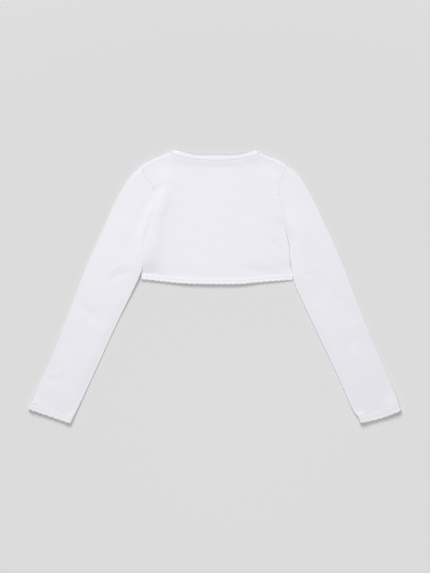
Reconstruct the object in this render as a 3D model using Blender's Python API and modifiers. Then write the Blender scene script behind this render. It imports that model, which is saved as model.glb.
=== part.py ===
"""A child's fine-knit shrug (bolero), laid flat on its fronts with the back uppermost.

Blender 4.5, metres, +Z up. The garment lies in the XY plane on the surface z = 0: +Y points from hem to
neck and +X to the wearer's right. Tables and sizes are in millimetres and become metres when a mesh is made.
Plan positions are counted from the middle of the whole outline, so the finished part stands with its box
centred on the origin.

Each cut piece is one object. Panels and sleeves are the outer face of the cloth, lofted between named
sections and thickened inwards by Solidify. Bands are a raised profile swept along the edge that they finish.
"""

from typing import NamedTuple

import bmesh
import bpy
import numpy as np

MM = 0.001

# Cloth
WALL = 1.4  # thickness of the jersey
SEAM = 0.3  # room between pieces at a seam
LEVEL = 4.2  # height of the upper layer's outer face, over a lower layer that lies on the surface
PRESSED = 1.0  # how far the upper layer is pressed down where a sleeve lies on it
PRESS_RUN = 22.0  # distance over which it comes up again

# Folds at the garment's edges
SHOULDER_FOLD = 4.6  # height of the fold that the fronts make over the shoulder
SHOULDER_TURN = 6.4  # how far the fronts turn over on to the back
SHOULDER_REACH = 0.992  # share of the shoulder's outline that the fronts cover, up to the neckband
CROWN_RUN = 9.0  # distance over which a sleeve sinks from its fold to the flat
LIFT_RUN = 19.0  # a sleeve starts to climb on to the body this far from its inner fold
LIFT_FLAT = 8.0  # and lies on it from here

# Bands
BAND_DEPTH = 8.6  # neck and front bands
BAND_WALL = 1.8
BAND_END = 0.6  # the front bands end this far inside the shoulder's outline
NECK_STATIONS = 34  # three to each of the back's columns
HEM_DEPTH = 10.6  # hem and cuff bands
SCALLOP_DEPTH = 1.5
HEM_SCALLOPS = 27  # across the back
FRONT_SCALLOPS = 13  # across one front
CUFF_SCALLOPS = 16  # round one cuff
SCALLOP_STEPS = 5  # columns to a scallop
SCALLOP_ROUND = 0.7  # below 1, the lobes are rounder and the notches between them narrower


class Point(NamedTuple):
    """A place in the plan."""

    x: float
    y: float


class Section(NamedTuple):
    """One section across a flattened sleeve, from its outer fold to its inner fold."""

    outer_x: float
    outer_y: float
    inner_x: float
    inner_y: float
    bow: float  # share of the armhole's curve that the section still follows
    fold: float  # height of the tube at its folds
    lift: float  # height of its underside at the inner fold


class Fold(NamedTuple):
    """A soft ridge, or a trough where its height is negative, along a path in the plan."""

    height: float
    half_width: float
    on: str  # back, sleeve or both
    path: tuple


class Rib(NamedTuple):
    """One point of a band's raised outer face."""

    depth: float  # share of the band's depth, from its seam
    rise: float  # above the plain wall


# Half outlines, each from the wearer's left (-X) and right (+X) side of the garment
SHOULDER = {
    -1: (
        Point(-116.6, 195.8),
        Point(-103.8, 202.9),
        Point(-91.0, 207.9),
        Point(-78.4, 213.0),
        Point(-71.2, 216.0),
    ),
    1: (
        Point(114.6, 194.8),
        Point(98.4, 204.0),
        Point(85.6, 208.8),
        Point(78.4, 212.4),
        Point(72.2, 215.7),
    ),
}
ARMHOLE = {
    -1: (
        Point(-116.6, 195.8),
        Point(-111.6, 176.4),
        Point(-101.0, 163.0),
        Point(-95.4, 149.0),
        Point(-97.2, 130.6),
        Point(-102.4, 111.4),
        Point(-107.6, 93.0),
    ),
    1: (
        Point(114.6, 194.8),
        Point(110.4, 182.6),
        Point(104.6, 170.6),
        Point(102.0, 157.8),
        Point(103.0, 144.0),
        Point(106.0, 128.0),
        Point(108.8, 110.0),
        Point(110.6, 93.0),
    ),
}
SIDE = {
    -1: (
        Point(-107.6, 93.0),
        Point(-111.6, 81.0),
        Point(-116.4, 65.0),
        Point(-118.8, 46.0),
        Point(-117.6, 22.2),
    ),
    1: (
        Point(110.6, 93.0),
        Point(115.8, 81.0),
        Point(121.6, 65.0),
        Point(124.6, 46.0),
        Point(124.4, 22.2),
    ),
}
FRONT_EDGE = {  # seam of the front band, from the shoulder round the neck and down the middle to the hem seam
    -1: (
        Point(-71.2, 216.0),
        Point(-66.0, 196.0),
        Point(-56.0, 174.0),
        Point(-38.0, 154.0),
        Point(-20.0, 141.0),
        Point(-10.6, 126.0),
        Point(-9.6, 100.0),
        Point(-9.6, 60.0),
        Point(-9.6, 15.6),
    ),
    1: (
        Point(72.2, 215.7),
        Point(67.0, 196.0),
        Point(57.0, 174.0),
        Point(38.6, 154.0),
        Point(20.4, 141.0),
        Point(10.6, 126.0),
        Point(9.6, 100.0),
        Point(9.6, 60.0),
        Point(9.6, 15.6),
    ),
}
NECK = (  # upper edge of the back neckband
    Point(-63.6, 219.2),
    Point(-46.2, 214.6),
    Point(-29.0, 211.8),
    Point(0.0, 210.8),
    Point(30.0, 211.5),
    Point(47.0, 214.0),
    Point(64.2, 219.4),
)
NECK_SEAM = (  # seam between the back neckband and the back
    Point(-71.2, 216.0),
    Point(-67.0, 211.8),
    Point(-58.0, 208.2),
    Point(-36.6, 203.8),
    Point(-9.8, 201.5),
    Point(14.6, 201.7),
    Point(39.5, 203.7),
    Point(58.6, 208.0),
    Point(68.0, 211.6),
    Point(72.2, 215.7),
)
HEM = (  # lower edge of the back, at the tips of its scallops
    Point(-117.4, 11.5),
    Point(-99.7, 10.0),
    Point(-75.0, 7.4),
    Point(-47.8, 5.3),
    Point(-15.8, 4.5),
    Point(16.2, 4.2),
    Point(44.2, 4.8),
    Point(64.2, 6.8),
    Point(94.2, 9.4),
    Point(124.2, 11.2),
)
SLEEVE = {
    -1: (
        Section(-116.6, 195.8, -107.6, 93.0, bow=1.00, fold=4.6, lift=3.8),
        Section(-139.0, 173.4, -111.2, 81.0, bow=0.62, fold=5.0, lift=3.8),
        Section(-159.8, 138.0, -113.2, 65.0, bow=0.32, fold=5.4, lift=3.8),
        Section(-177.4, 99.4, -113.8, 45.8, bow=0.10, fold=5.4, lift=3.8),
        Section(-191.8, 66.6, -117.2, 25.0, bow=0.00, fold=5.4, lift=3.8),
        Section(-207.8, 26.6, -130.2, 0.2, bow=0.00, fold=5.4, lift=0.0),
        Section(-233.4, -37.4, -160.2, -61.4, bow=0.00, fold=5.4, lift=0.0),
        Section(-263.8, -117.4, -197.8, -141.4, bow=0.00, fold=5.2, lift=0.0),
        Section(-286.2, -167.8, -220.5, -192.6, bow=0.00, fold=5.0, lift=0.0),
        Section(-292.6, -185.4, -226.4, -208.6, bow=0.00, fold=5.0, lift=0.0),
        Section(-297.8, -196.3, -230.2, -219.2, bow=0.00, fold=5.0, lift=0.0),
    ),
    1: (
        Section(114.6, 194.8, 110.6, 93.0, bow=1.00, fold=4.6, lift=3.8),
        Section(136.2, 173.6, 114.6, 81.0, bow=0.62, fold=5.0, lift=3.8),
        Section(157.0, 138.6, 118.0, 65.0, bow=0.32, fold=5.4, lift=3.8),
        Section(173.8, 100.2, 120.0, 45.8, bow=0.10, fold=5.4, lift=3.8),
        Section(189.8, 66.6, 123.6, 25.0, bow=0.00, fold=5.4, lift=3.8),
        Section(206.2, 26.6, 131.0, 0.2, bow=0.00, fold=5.4, lift=0.0),
        Section(230.6, -37.4, 158.9, -61.4, bow=0.00, fold=5.4, lift=0.0),
        Section(262.6, -117.4, 198.1, -141.4, bow=0.00, fold=5.2, lift=0.0),
        Section(285.0, -166.6, 220.6, -193.4, bow=0.00, fold=5.0, lift=0.0),
        Section(293.0, -185.6, 228.4, -207.4, bow=0.00, fold=5.0, lift=0.0),
        Section(297.8, -197.6, 232.2, -217.8, bow=0.00, fold=5.0, lift=0.0),
    ),
}
SLEEVE_STEPS = (3, 3, 2, 2, 3, 3, 3, 3, 1)  # stations from one section to the next, down to the cuff's seam
CUFF_ROW = len(SLEEVE_STEPS)  # the section at the cuff's seam
FOLDS = (
    Fold(2.6, 8.0, "both", (Point(-76.0, 163.0), Point(-91.0, 139.0), Point(-103.0, 104.0))),
    Fold(
        -0.9,
        9.0,
        "back",
        (Point(-66.0, 168.0), Point(-74.0, 131.0), Point(-88.0, 86.0), Point(-105.0, 38.0)),
    ),
    Fold(-0.8, 5.0, "both", (Point(-97.0, 152.0), Point(-99.0, 143.0))),
    Fold(-0.7, 4.5, "sleeve", (Point(-115.0, 134.0), Point(-118.0, 95.0))),
    Fold(2.0, 9.0, "sleeve", (Point(113.0, 132.0), Point(118.0, 106.0), Point(122.0, 84.0))),
    Fold(-0.7, 6.0, "back", (Point(96.0, 67.0), Point(103.0, 52.0), Point(116.0, 30.0))),
    Fold(-0.6, 7.0, "sleeve", (Point(-211.0, -34.0), Point(-187.0, -57.0))),
    Fold(-0.6, 6.0, "sleeve", (Point(-280.0, -138.0), Point(-262.0, -150.0))),
    Fold(-0.6, 7.0, "sleeve", (Point(196.0, -20.0), Point(222.0, -52.0))),
)
HEM_RIBS = (Rib(0.0, 0.0), Rib(0.2, 0.7), Rib(0.52, 0.2), Rib(0.82, 0.8), Rib(1.0, -0.5))
PLAIN_RIBS = (Rib(0.0, 0.0), Rib(1.0, 0.0))
NECK_RIBS = (Rib(0.0, 0.0), Rib(0.3, 0.5), Rib(0.75, 0.5), Rib(1.0, -0.4))

# Columns across the back: shoulder, neck, shoulder, as shares of its width
SHOULDER_SHARE = 0.205
SHOULDER_COLUMNS = 7
NECK_START = 0.042  # share of the neckband's seam that lies along the fronts' turn
NECK_COLUMNS = 9
COLUMN_SPREAD = 1.35  # above 1, the columns stand closer towards the armholes
SIDE_ROWS = 7
ARMHOLE_ROWS = 10
SIDE_ROW_SHARE = 0.38
FRONT_HEM_SHARE = 0.46  # share of the hem under one front
FRONT_HEM_GAP = 0.005  # share of the hem between its middle and a front's hem band
FRONT_INSET = 1.0  # the fronts' hem is this much shorter than the back's
TURN_STEP = 0.1  # how far the fronts' turn stands above the back
FRONT_COLUMNS = 8
TURN_ROWS = (0.25, 0.5, 0.75, 1.0)  # rows of the fronts' fold over the shoulder, as shares of its half turn

# Stations round a flattened tube: shares of its flat underside and top, and degrees round its folds
SLEEVE_UNDER = np.array([0, 0.1, 0.2, 0.3, 0.4, 0.5, 0.6, 0.7, 0.78, 0.86, 0.93, 1])
SLEEVE_TOP = np.array([0, 0.06, 0.13, 0.22, 0.34, 0.46, 0.58, 0.68, 0.76, 0.83, 0.89, 0.95, 1])
SLEEVE_TURN = np.array([-54, -18, 18, 54])
CUFF_FLAT = np.linspace(0, 1, 60)
CUFF_TURN = np.linspace(-85, 85, 18)
FOLD_FADE = 0.35  # below 1, the folds keep their height nearer to a sleeve's edges
FOLD_LEAST = 0.02  # share of the width that the fade starts at
BAND_RAISED = (0.3, 0.8)  # heights between which a cuff's ribs come up, as shares of its fold

COTTON = (0.86, 0.85, 0.89, 1.0)
COTTON_EDGE = (0.90, 0.89, 0.92, 1.0)
COTTON_ROUGHNESS = 0.85


def smooth(rows, places):
    """A table read at fractional row numbers, on the Catmull-Rom curve through its rows."""
    rows = np.asarray(rows, float)
    places = np.asarray(places, float)
    padded = np.vstack([2 * rows[0] - rows[1], rows, 2 * rows[-1] - rows[-2]])
    first = np.clip(np.floor(places).astype(int), 0, len(rows) - 2)
    step = (places - first)[:, None]
    a, b, c, d = (padded[first + k] for k in range(4))
    return b + step / 2 * (c - a + step * (2 * a - 5 * b + 4 * c - d + step * (3 * (b - c) + d - a)))


def along(rows, shares):
    """Points at the given shares of the length of the smooth curve through a table's points."""
    fine = smooth(rows, np.linspace(0, len(rows) - 1, 40 * len(rows)))
    run = np.concatenate([[0], np.cumsum(np.linalg.norm(np.diff(fine, axis=0), axis=1))])
    return np.column_stack([np.interp(np.asarray(shares) * run[-1], run, column) for column in fine.T])


def ease(share):
    """A smooth step from 0 to 1."""
    share = np.clip(share, 0, 1)
    return share * share * (3 - 2 * share)


def distance_to(path, x, y):
    """Distance in the plan from points to a smooth path."""
    line = along(path, np.linspace(0, 1, 24))
    return np.sqrt((x[..., None] - line[:, 0]) ** 2 + (y[..., None] - line[:, 1]) ** 2).min(axis=-1)


def relief(x, y, on):
    """Height that the folds add to the upper layer of the back or of a sleeve."""
    total = np.zeros_like(x)
    for fold in FOLDS:
        if fold.on in (on, "both"):
            total += fold.height * np.exp(-((distance_to(fold.path, x, y) / fold.half_width) ** 2))
    return total


def back_height(x, y):
    """Height of the back's outer face: level, with its folds, and pressed down beside the sleeves."""
    pressed = np.zeros_like(x)
    for side in SIDE.values():
        pressed = np.maximum(pressed, 1 - ease((distance_to(side, x, y) - LIFT_FLAT / 2) / PRESS_RUN))
    return LEVEL + relief(x, y, "back") * (1 - pressed) - PRESSED * pressed


def patch(left, right, low, high, across, up):
    """A four-sided net between its edges: rows run from low to high, columns from left to right."""
    u = np.asarray(across)[None, :, None]
    v = np.asarray(up)[:, None, None]
    rows = (1 - u) * left[:, None] + u * right[:, None]
    columns = (1 - v) * low[None] + v * high[None]
    corners = (1 - v) * ((1 - u) * low[0] + u * low[-1]) + v * ((1 - u) * high[0] + u * high[-1])
    return rows + columns - corners


def cotton(name, colour):
    """Matt white cotton."""
    material = bpy.data.materials.new(name)
    material.use_nodes = True
    shader = material.node_tree.nodes["Principled BSDF"]
    shader.inputs["Base Color"].default_value = colour
    shader.inputs["Roughness"].default_value = COTTON_ROUGHNESS
    shader.inputs["Metallic"].default_value = 0.0
    return material


def add_object(name, points, faces, colour, collection):
    """An object from points in millimetres."""
    mesh = bpy.data.meshes.new(name)
    mesh.from_pydata((np.asarray(points) * MM).tolist(), [], faces)
    mesh.shade_smooth()
    mesh.materials.append(cotton(name + "_cotton", colour))
    obj = bpy.data.objects.new(name, mesh)
    collection.objects.link(obj)
    return obj


def face_out(obj, outward=None):
    """Turns the faces outwards, or all of them so that the first one faces the given way."""
    work = bmesh.new()
    work.from_mesh(obj.data)
    bmesh.ops.recalc_face_normals(work, faces=work.faces)
    work.faces.ensure_lookup_table()
    if outward is not None and work.faces[0].normal.dot(outward) < 0:
        bmesh.ops.reverse_faces(work, faces=work.faces)
    work.to_mesh(obj.data)
    work.free()


def thicken(obj):
    """Gives the cloth's outer face its wall, inwards."""
    wall = obj.modifiers.new("wall", "SOLIDIFY")
    wall.thickness = WALL * MM
    wall.offset = -1.0


def net_faces(rows, columns, closed=False):
    """Quads of a net of points, joined into a tube where it is closed."""
    last = columns if closed else columns - 1
    faces = []
    for row in range(rows - 1):
        start = row * columns
        for column in range(last):
            after = (column + 1) % columns
            faces.append((start + column, start + after, start + columns + after, start + columns + column))
    return faces


def panel(name, net, outward, collection):
    """A cloth panel from the net of its outer face."""
    obj = add_object(name, net.reshape(-1, 3), net_faces(*net.shape[:2]), COTTON, collection)
    face_out(obj, outward)
    thicken(obj)
    return obj


def tube(name, net, collection):
    """A cloth tube from the net of its outer face, open at both ends."""
    obj = add_object(name, net.reshape(-1, 3), net_faces(*net.shape[:2], closed=True), COTTON, collection)
    face_out(obj)
    thicken(obj)
    return obj


def sweep(name, net, collection, ring=False):
    """A solid from closed profiles set along a path, capped at its ends or joined into a ring."""
    rows, columns = net.shape[:2]
    faces = net_faces(rows, columns, closed=True)
    if ring:
        start = (rows - 1) * columns
        faces += [(start + c, start + (c + 1) % columns, (c + 1) % columns, c) for c in range(columns)]
    else:
        faces += [tuple(range(columns)), tuple(range((rows - 1) * columns, rows * columns))]
    obj = add_object(name, net.reshape(-1, 3), faces, COTTON_EDGE, collection)
    face_out(obj)
    return obj


def direction(start, end):
    """Unit vector from one point to another."""
    step = np.subtract(end, start)
    return step / np.linalg.norm(step)


def shoulder_line(side, shares, offset, top):
    """The shoulder's outline moved in by an offset, between the lines of the armhole and the neck.

    top is 0 on the underside and 1 on the upper side, where the neck's line is the seam of the back neckband.
    """
    neck_seam = NECK_SEAM if side < 0 else NECK_SEAM[::-1]
    outline = along(SHOULDER[side], np.asarray(shares) * SHOULDER_REACH)
    armhole = direction(*ARMHOLE[side][:2])
    neck = (1 - top) * direction(*FRONT_EDGE[side][:2]) + top * direction(*neck_seam[:2])
    shares = np.asarray(shares)[:, None]
    return outline + offset * ((1 - shares) * armhole + shares * neck / np.linalg.norm(neck))


def hem_line(shares, offset):
    """The back's lower edge moved up by an offset."""
    return along(HEM, shares) + (0, offset)


def side_edge(side, start=0.0):
    """The edge of a body panel, from the hem's seam up the side and round the armhole to a start on it."""
    lower = along(SIDE[side][::-1], np.linspace(0, 1, SIDE_ROWS + 1))
    upper = along(ARMHOLE[side][::-1], np.linspace(0, 1 - start, ARMHOLE_ROWS + 1))
    return np.vstack([lower, upper[1:]])


def armhole_share(side, distance):
    """Share of the armhole's length that lies within a distance of the shoulder."""
    fine = along(ARMHOLE[side], np.linspace(0, 1, 200))
    return distance / np.linalg.norm(np.diff(fine, axis=0), axis=1).sum()


def body_rows():
    """Row places of a body panel, as shares of its height."""
    lower = np.linspace(0, SIDE_ROW_SHARE, SIDE_ROWS + 1)
    return np.concatenate([lower, np.linspace(SIDE_ROW_SHARE, 1, ARMHOLE_ROWS + 1)[1:]])


def neck_shares():
    """Places of the back's columns along the neckband's seam."""
    return np.linspace(NECK_START, 1 - NECK_START, NECK_COLUMNS + 1)


def make_back(collection):
    """The back, between its hem band, the sleeves, the fronts' turn at the shoulders and the neckband."""
    outer = SHOULDER_SHARE * (np.arange(SHOULDER_COLUMNS + 1) / SHOULDER_COLUMNS) ** COLUMN_SPREAD
    middle = np.linspace(SHOULDER_SHARE, 1 - SHOULDER_SHARE, NECK_COLUMNS + 1)
    across = np.concatenate([outer, middle[1:-1], 1 - outer[::-1]])
    shoulder = outer / SHOULDER_SHARE
    turn = SHOULDER_TURN + SEAM
    high = np.vstack(
        [
            shoulder_line(-1, shoulder, turn, top=1)[:-1],
            along(NECK_SEAM, neck_shares()) - (0, SEAM),
            shoulder_line(1, shoulder, turn, top=1)[::-1][1:],
        ]
    )
    left = side_edge(-1, armhole_share(-1, turn))
    right = side_edge(1, armhole_share(1, turn))
    low = hem_line(across, HEM_DEPTH + SEAM)
    low[0] = left[0]
    low[-1] = right[0]
    plan = patch(left, right, low, high, across, body_rows())
    height = back_height(plan[..., 0], plan[..., 1])
    panel("back", np.dstack([plan, height]), (0, 0, 1), collection)


def front_edge(side):
    """The seam of a front and its band, from the hem's seam up to the shoulder's fold."""
    edge = along(FRONT_EDGE[side][::-1], body_rows())
    edge[-1] = shoulder_line(side, [1.0], SHOULDER_FOLD / 2, top=0)[0]
    return edge


def make_front(name, side, collection):
    """A front: flat on the surface, and turned over the shoulder to meet the back."""
    radius = SHOULDER_FOLD / 2
    across = np.linspace(0, 1, FRONT_COLUMNS + 1)
    outer = side_edge(side, armhole_share(side, radius))
    inner = front_edge(side)
    high = shoulder_line(side, across, radius, top=0)
    reach = 0.5 + side * (0.5 - FRONT_HEM_SHARE * across)
    low = np.column_stack([np.linspace(outer[0, 0], inner[0, 0], len(across)), along(HEM, reach)[:, 1]])
    low[:, 1] += HEM_DEPTH + SEAM
    outer[0] = low[0]
    inner[0] = low[-1]
    plan = patch(outer, inner, low, high, across, body_rows())
    rows = [np.column_stack([row, np.zeros(len(row))]) for row in plan]
    for share in TURN_ROWS:
        angle = np.pi * (share - 0.5)
        row = shoulder_line(side, across, radius * (1 - np.cos(angle)), top=share)
        rows.append(np.column_stack([row, np.full(len(row), radius * (1 + np.sin(angle)))]))
    row = shoulder_line(side, across, SHOULDER_TURN, top=1)
    rows.append(np.column_stack([row, back_height(row[:, 0], row[:, 1]) + TURN_STEP]))
    panel(name, np.array(rows), (0, 0, -1), collection)


def flat_tube(width, fold, lift, under, top, turn):
    """Outline of a flattened tube as rows of distance from its outer fold and height.

    It runs along the underside to the inner fold, round it, back along the top and round the outer fold.
    under and top are shares of the flat between the folds, and turn the degrees between underside and top
    of a fold.
    """
    radius = fold / 2
    flat = width - fold
    turn = np.radians(turn)
    low = radius + flat * under
    high = radius + flat * top[::-1]
    rise_low = lift * ease((low - width + LIFT_RUN) / (LIFT_RUN - LIFT_FLAT))
    rise_high = lift * ease((high - width + LIFT_RUN) / (LIFT_RUN - LIFT_FLAT))
    edge = np.minimum(high - radius, width - radius - high)
    crown = LEVEL + (fold - LEVEL) * np.exp(-((edge / CROWN_RUN) ** 2))
    inner = np.column_stack([width - radius * (1 - np.cos(turn)), lift + radius * (1 + np.sin(turn))])
    outer = np.column_stack([radius * (1 - np.cos(turn)), radius * (1 + np.sin(turn))])[::-1]
    return np.vstack(
        [
            np.column_stack([low, rise_low]),
            inner,
            np.column_stack([high, rise_high + crown]),
            outer,
        ]
    )


def sleeve_section(side, section, outline):
    """Places a flattened tube's outline on the plan of one section, bowed as the armhole is."""
    outer = np.array([section.outer_x, section.outer_y])
    inner = np.array([section.inner_x, section.inner_y])
    chord = inner - outer
    width = np.linalg.norm(chord)
    share = np.clip(outline[:, 0] / width, 0, 1)
    armhole = along(ARMHOLE[side], share)
    straight = np.add(ARMHOLE[side][0], share[:, None] * np.subtract(ARMHOLE[side][-1], ARMHOLE[side][0]))
    plan = outer + outline[:, :1] / width * chord + section.bow * (armhole - straight)
    return np.column_stack([plan, outline[:, 1]])


def make_sleeve(name, side, collection):
    """A sleeve: a flattened tube from armhole to cuff, its inner fold lying on the body's side."""
    places = [0.0]
    for row, steps in enumerate(SLEEVE_STEPS):
        places += [row + (k + 1) / steps for k in range(steps)]
    upper = slice(len(SLEEVE_UNDER) + len(SLEEVE_TURN), -len(SLEEVE_TURN))
    middle = np.clip(SLEEVE_TOP[::-1], FOLD_LEAST, 1 - FOLD_LEAST)
    fade = np.sin(np.pi * middle) ** FOLD_FADE
    rings = []
    for values in smooth(SLEEVE[side], places):
        section = Section(*values)
        width = np.hypot(section.inner_x - section.outer_x, section.inner_y - section.outer_y)
        lift = max(section.lift, 0.0)
        outline = flat_tube(width, section.fold, lift, SLEEVE_UNDER, SLEEVE_TOP, SLEEVE_TURN)
        ring = sleeve_section(side, section, outline)
        ring[upper, 2] += fade * relief(ring[upper, 0], ring[upper, 1], "sleeve")
        rings.append(ring)
    net = np.array(rings)
    net[0, :, 0] += side * SEAM * 2
    tube(name, net, collection)


def scallop(share):
    """Depth from a scallop's tip to its edge, at a share of its pitch: round lobes, notches between them."""
    return SCALLOP_DEPTH * (1 - np.abs(np.sin(np.pi * share)) ** SCALLOP_ROUND)


def make_hem(name, shares, scallops, low, ribs, inset, collection):
    """A hem band with a scalloped edge along part of the hem, its underside at a given height."""
    count = scallops * SCALLOP_STEPS + 1
    places = np.linspace(shares[0], shares[1], count)
    edge = along(HEM, places)
    notch = scallop(np.arange(count) / SCALLOP_STEPS)
    profiles = []
    for (x, y), cut in zip(edge, notch):
        tip = y + cut + inset
        seam = y + HEM_DEPTH
        base = low(x, seam)
        plan = [seam + (tip - seam) * rib.depth for rib in ribs]
        top = [(x, at, base + WALL + rib.rise) for at, rib in zip(plan, ribs)]
        profiles.append(top + [(x, tip, base), (x, seam, base)])
    return sweep(name, np.array(profiles), collection)


def make_cuff(name, side, collection):
    """A cuff band: a flattened scalloped ring, raised on its upper side and plain where it rests."""
    seam = Section(*SLEEVE[side][CUFF_ROW])
    end = Section(*SLEEVE[side][CUFF_ROW + 1])
    count = CUFF_SCALLOPS * SCALLOP_STEPS
    width = np.hypot(end.inner_x - end.outer_x, end.inner_y - end.outer_y)
    outline = flat_tube(width, end.fold, 0.0, CUFF_FLAT, CUFF_FLAT, CUFF_TURN)
    outline = np.vstack([outline, outline[:1]])
    run = np.concatenate([[0], np.cumsum(np.linalg.norm(np.diff(outline, axis=0), axis=1))])
    shares = np.arange(count) / count * run[-1]
    ring = np.column_stack([np.interp(shares, run, outline[:, k]) for k in range(2)])
    tangent = np.roll(ring, -1, axis=0) - np.roll(ring, 1, axis=0)
    normal = np.column_stack([tangent[:, 1], -tangent[:, 0]]) / np.linalg.norm(tangent, axis=1)[:, None]
    raised = ease((ring[:, 1] / end.fold - BAND_RAISED[0]) / (BAND_RAISED[1] - BAND_RAISED[0]))
    notch = scallop((np.arange(count) + SCALLOP_STEPS / 2) / SCALLOP_STEPS)
    depth = np.hypot(end.outer_x - seam.outer_x, end.outer_y - seam.outer_y)

    def place(offset, share):
        """Plan position and height of an offset ring point at a share of the band's depth."""
        across = offset[0] / width
        outer = np.array(seam[:2]) + share * np.subtract(end[:2], seam[:2])
        inner = np.array(seam[2:4]) + share * np.subtract(end[2:4], seam[2:4])
        return (*(outer + across * (inner - outer)), offset[1])

    profiles = []
    for at, out, up, cut in zip(ring, normal, raised, notch):
        start = SEAM / depth
        tip = 1 - cut / depth
        top = [place(at + out * rib.rise * up, start + (tip - start) * rib.depth) for rib in HEM_RIBS]
        profiles.append(top + [place(at - out * WALL, tip), place(at - out * WALL, start)])
    return sweep(name, np.array(profiles), collection, ring=True)


def make_neckband(collection):
    """The back neckband, between the shoulders' folds."""
    corners = np.concatenate([[0], neck_shares(), [1]])
    shares = np.interp(np.linspace(0, 1, NECK_STATIONS), np.linspace(0, 1, len(corners)), corners)
    seams = along(NECK_SEAM, corners)
    seams = np.column_stack([np.interp(shares, corners, seams[:, k]) for k in range(2)])
    base = LEVEL - WALL
    profiles = []
    for seam, edge in zip(seams, along(NECK, shares)):
        top = [(*(seam + rib.depth * (edge - seam)), base + BAND_WALL + rib.rise) for rib in NECK_RIBS]
        profiles.append(top + [(*edge, base), (*seam, base)])
    return sweep("neckband_back", np.array(profiles), collection)


def make_front_band(name, side, collection):
    """A front band, flat on the surface: round the neck from the shoulder and down the front edge."""
    seam = front_edge(side)
    seam[-1] = shoulder_line(side, [1.0], BAND_END, top=0)[0]
    slope = np.gradient(seam, axis=0)
    slope /= np.linalg.norm(slope, axis=1)[:, None]
    out = side * np.column_stack([-slope[:, 1], slope[:, 0]])
    near = seam + SEAM * out
    far = seam + BAND_DEPTH * out
    profiles = [[(*inner, 0), (*outer, 0), (*outer, WALL), (*inner, WALL)] for inner, outer in zip(near, far)]
    return sweep(name, np.array(profiles), collection)


def hem_height(x, y):
    """Height of the back hem's underside."""
    return float(back_height(np.array([x]), np.array([y]))[0]) - WALL


def rest_height(_x, _y):
    """Height of a front hem's underside: it rests on the surface all along."""
    return 0.0


def centre(objects):
    """Moves the meshes so that the whole garment's box stands centred on the origin in the plan."""
    corners = np.array([vertex.co for obj in objects for vertex in obj.data.vertices])
    middle = (corners.min(axis=0) + corners.max(axis=0)) / 2
    for obj in objects:
        for vertex in obj.data.vertices:
            vertex.co.x -= middle[0]
            vertex.co.y -= middle[1]


def main():
    for obj in list(bpy.data.objects):
        bpy.data.objects.remove(obj, do_unlink=True)
    collection = bpy.data.collections.new("knitted_shrug")
    bpy.context.scene.collection.children.link(collection)

    make_back(collection)
    make_hem("hem_back", (0, 1), HEM_SCALLOPS, hem_height, HEM_RIBS, 0.0, collection)
    make_neckband(collection)
    for word, side in (("left", -1), ("right", 1)):
        make_front("front_" + word, side, collection)
        make_front_band("band_front_" + word, side, collection)
        ends = (0.5 + side * FRONT_HEM_GAP, 0.5 + side * 0.5)
        name = "hem_front_" + word
        make_hem(name, sorted(ends), FRONT_SCALLOPS, rest_height, PLAIN_RIBS, FRONT_INSET, collection)
        make_sleeve("sleeve_" + word, side, collection)
        make_cuff("cuff_" + word, side, collection)
    centre(collection.objects)


main()
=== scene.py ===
"""Looks of a child's fine-knit shrug that lies on its fronts with its back up, dressed round its solids.

Tables and sizes are in millimetres, as a maker would measure the laid garment, and become metres when a
mesh is made. +Y points from hem to neck and +X to the wearer's right sleeve. The cloth keeps the outlines
and layers of the solids. Its large folds are softer than theirs, and the smaller creases, the sewing and
the knit are added.
"""

import logging
import math
from collections.abc import Sequence
from dataclasses import dataclass, field
from enum import Enum

import bmesh
import bpy
import numpy as np
from bpy.types import ID, Material, Node, NodeSocket, NodeTree, Object
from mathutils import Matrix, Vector


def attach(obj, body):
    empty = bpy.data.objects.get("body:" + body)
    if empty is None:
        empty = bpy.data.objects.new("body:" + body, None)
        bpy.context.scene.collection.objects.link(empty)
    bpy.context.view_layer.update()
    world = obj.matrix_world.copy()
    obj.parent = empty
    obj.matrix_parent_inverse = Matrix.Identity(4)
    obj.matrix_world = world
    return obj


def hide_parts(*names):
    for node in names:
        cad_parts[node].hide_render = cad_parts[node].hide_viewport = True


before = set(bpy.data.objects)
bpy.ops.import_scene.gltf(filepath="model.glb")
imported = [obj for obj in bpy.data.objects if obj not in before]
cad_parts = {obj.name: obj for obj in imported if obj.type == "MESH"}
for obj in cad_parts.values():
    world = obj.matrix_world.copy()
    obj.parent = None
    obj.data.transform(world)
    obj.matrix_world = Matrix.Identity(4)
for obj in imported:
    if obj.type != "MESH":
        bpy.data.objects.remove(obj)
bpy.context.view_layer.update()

LOG = logging.getLogger("shrug")
MM = 0.001
BODY = "root"
UV_MAP = "knit"  # metres across and along the knitting
PLAN_SHIFT = (-0.03, -0.38, 0.0)  # from the tables to the middle of the solids' box
UP = (0.0, 0.0, 1.0)
CURVE_POINTS = 40  # for each row of a table, where its curve's length is measured
LINE_POINTS = 24  # of a fold, or of the side that the cloth turns up at
FOLD_REACH = 3  # a fold has died away this many half widths from its line
FADE_POWER = 0.7  # below 1, a fold that fades keeps its height nearer to its ends
WAVES = 7  # that an undulation is made of
WAVE_SPREAD = (0.6, 1.7)  # shares of its middle wavelength that they lie between
TINY = 1e-12  # the least square of a length to divide by
CRISP_ANGLE = math.radians(55)  # the cloth's cut edges are sharper than this, and its folds are not

Array = np.ndarray
Row = Sequence[float] | Array
Rows = Sequence[Sequence[float]] | Array
Steps = Sequence[tuple]  # Math nodes: a name, an operation, then numbers or the names of earlier steps


class Side(Enum):
    """The wearer's side of the garment. The value is the sign of its X."""

    LEFT = -1
    RIGHT = 1

    @property
    def word(self) -> str:
        """The side's name in a piece's name."""
        return self.name.lower()


class Cloth(Enum):
    """The cut pieces that a fold is pressed into."""

    BACK = "back"
    SLEEVE = "sleeve"
    BOTH = "both"


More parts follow.
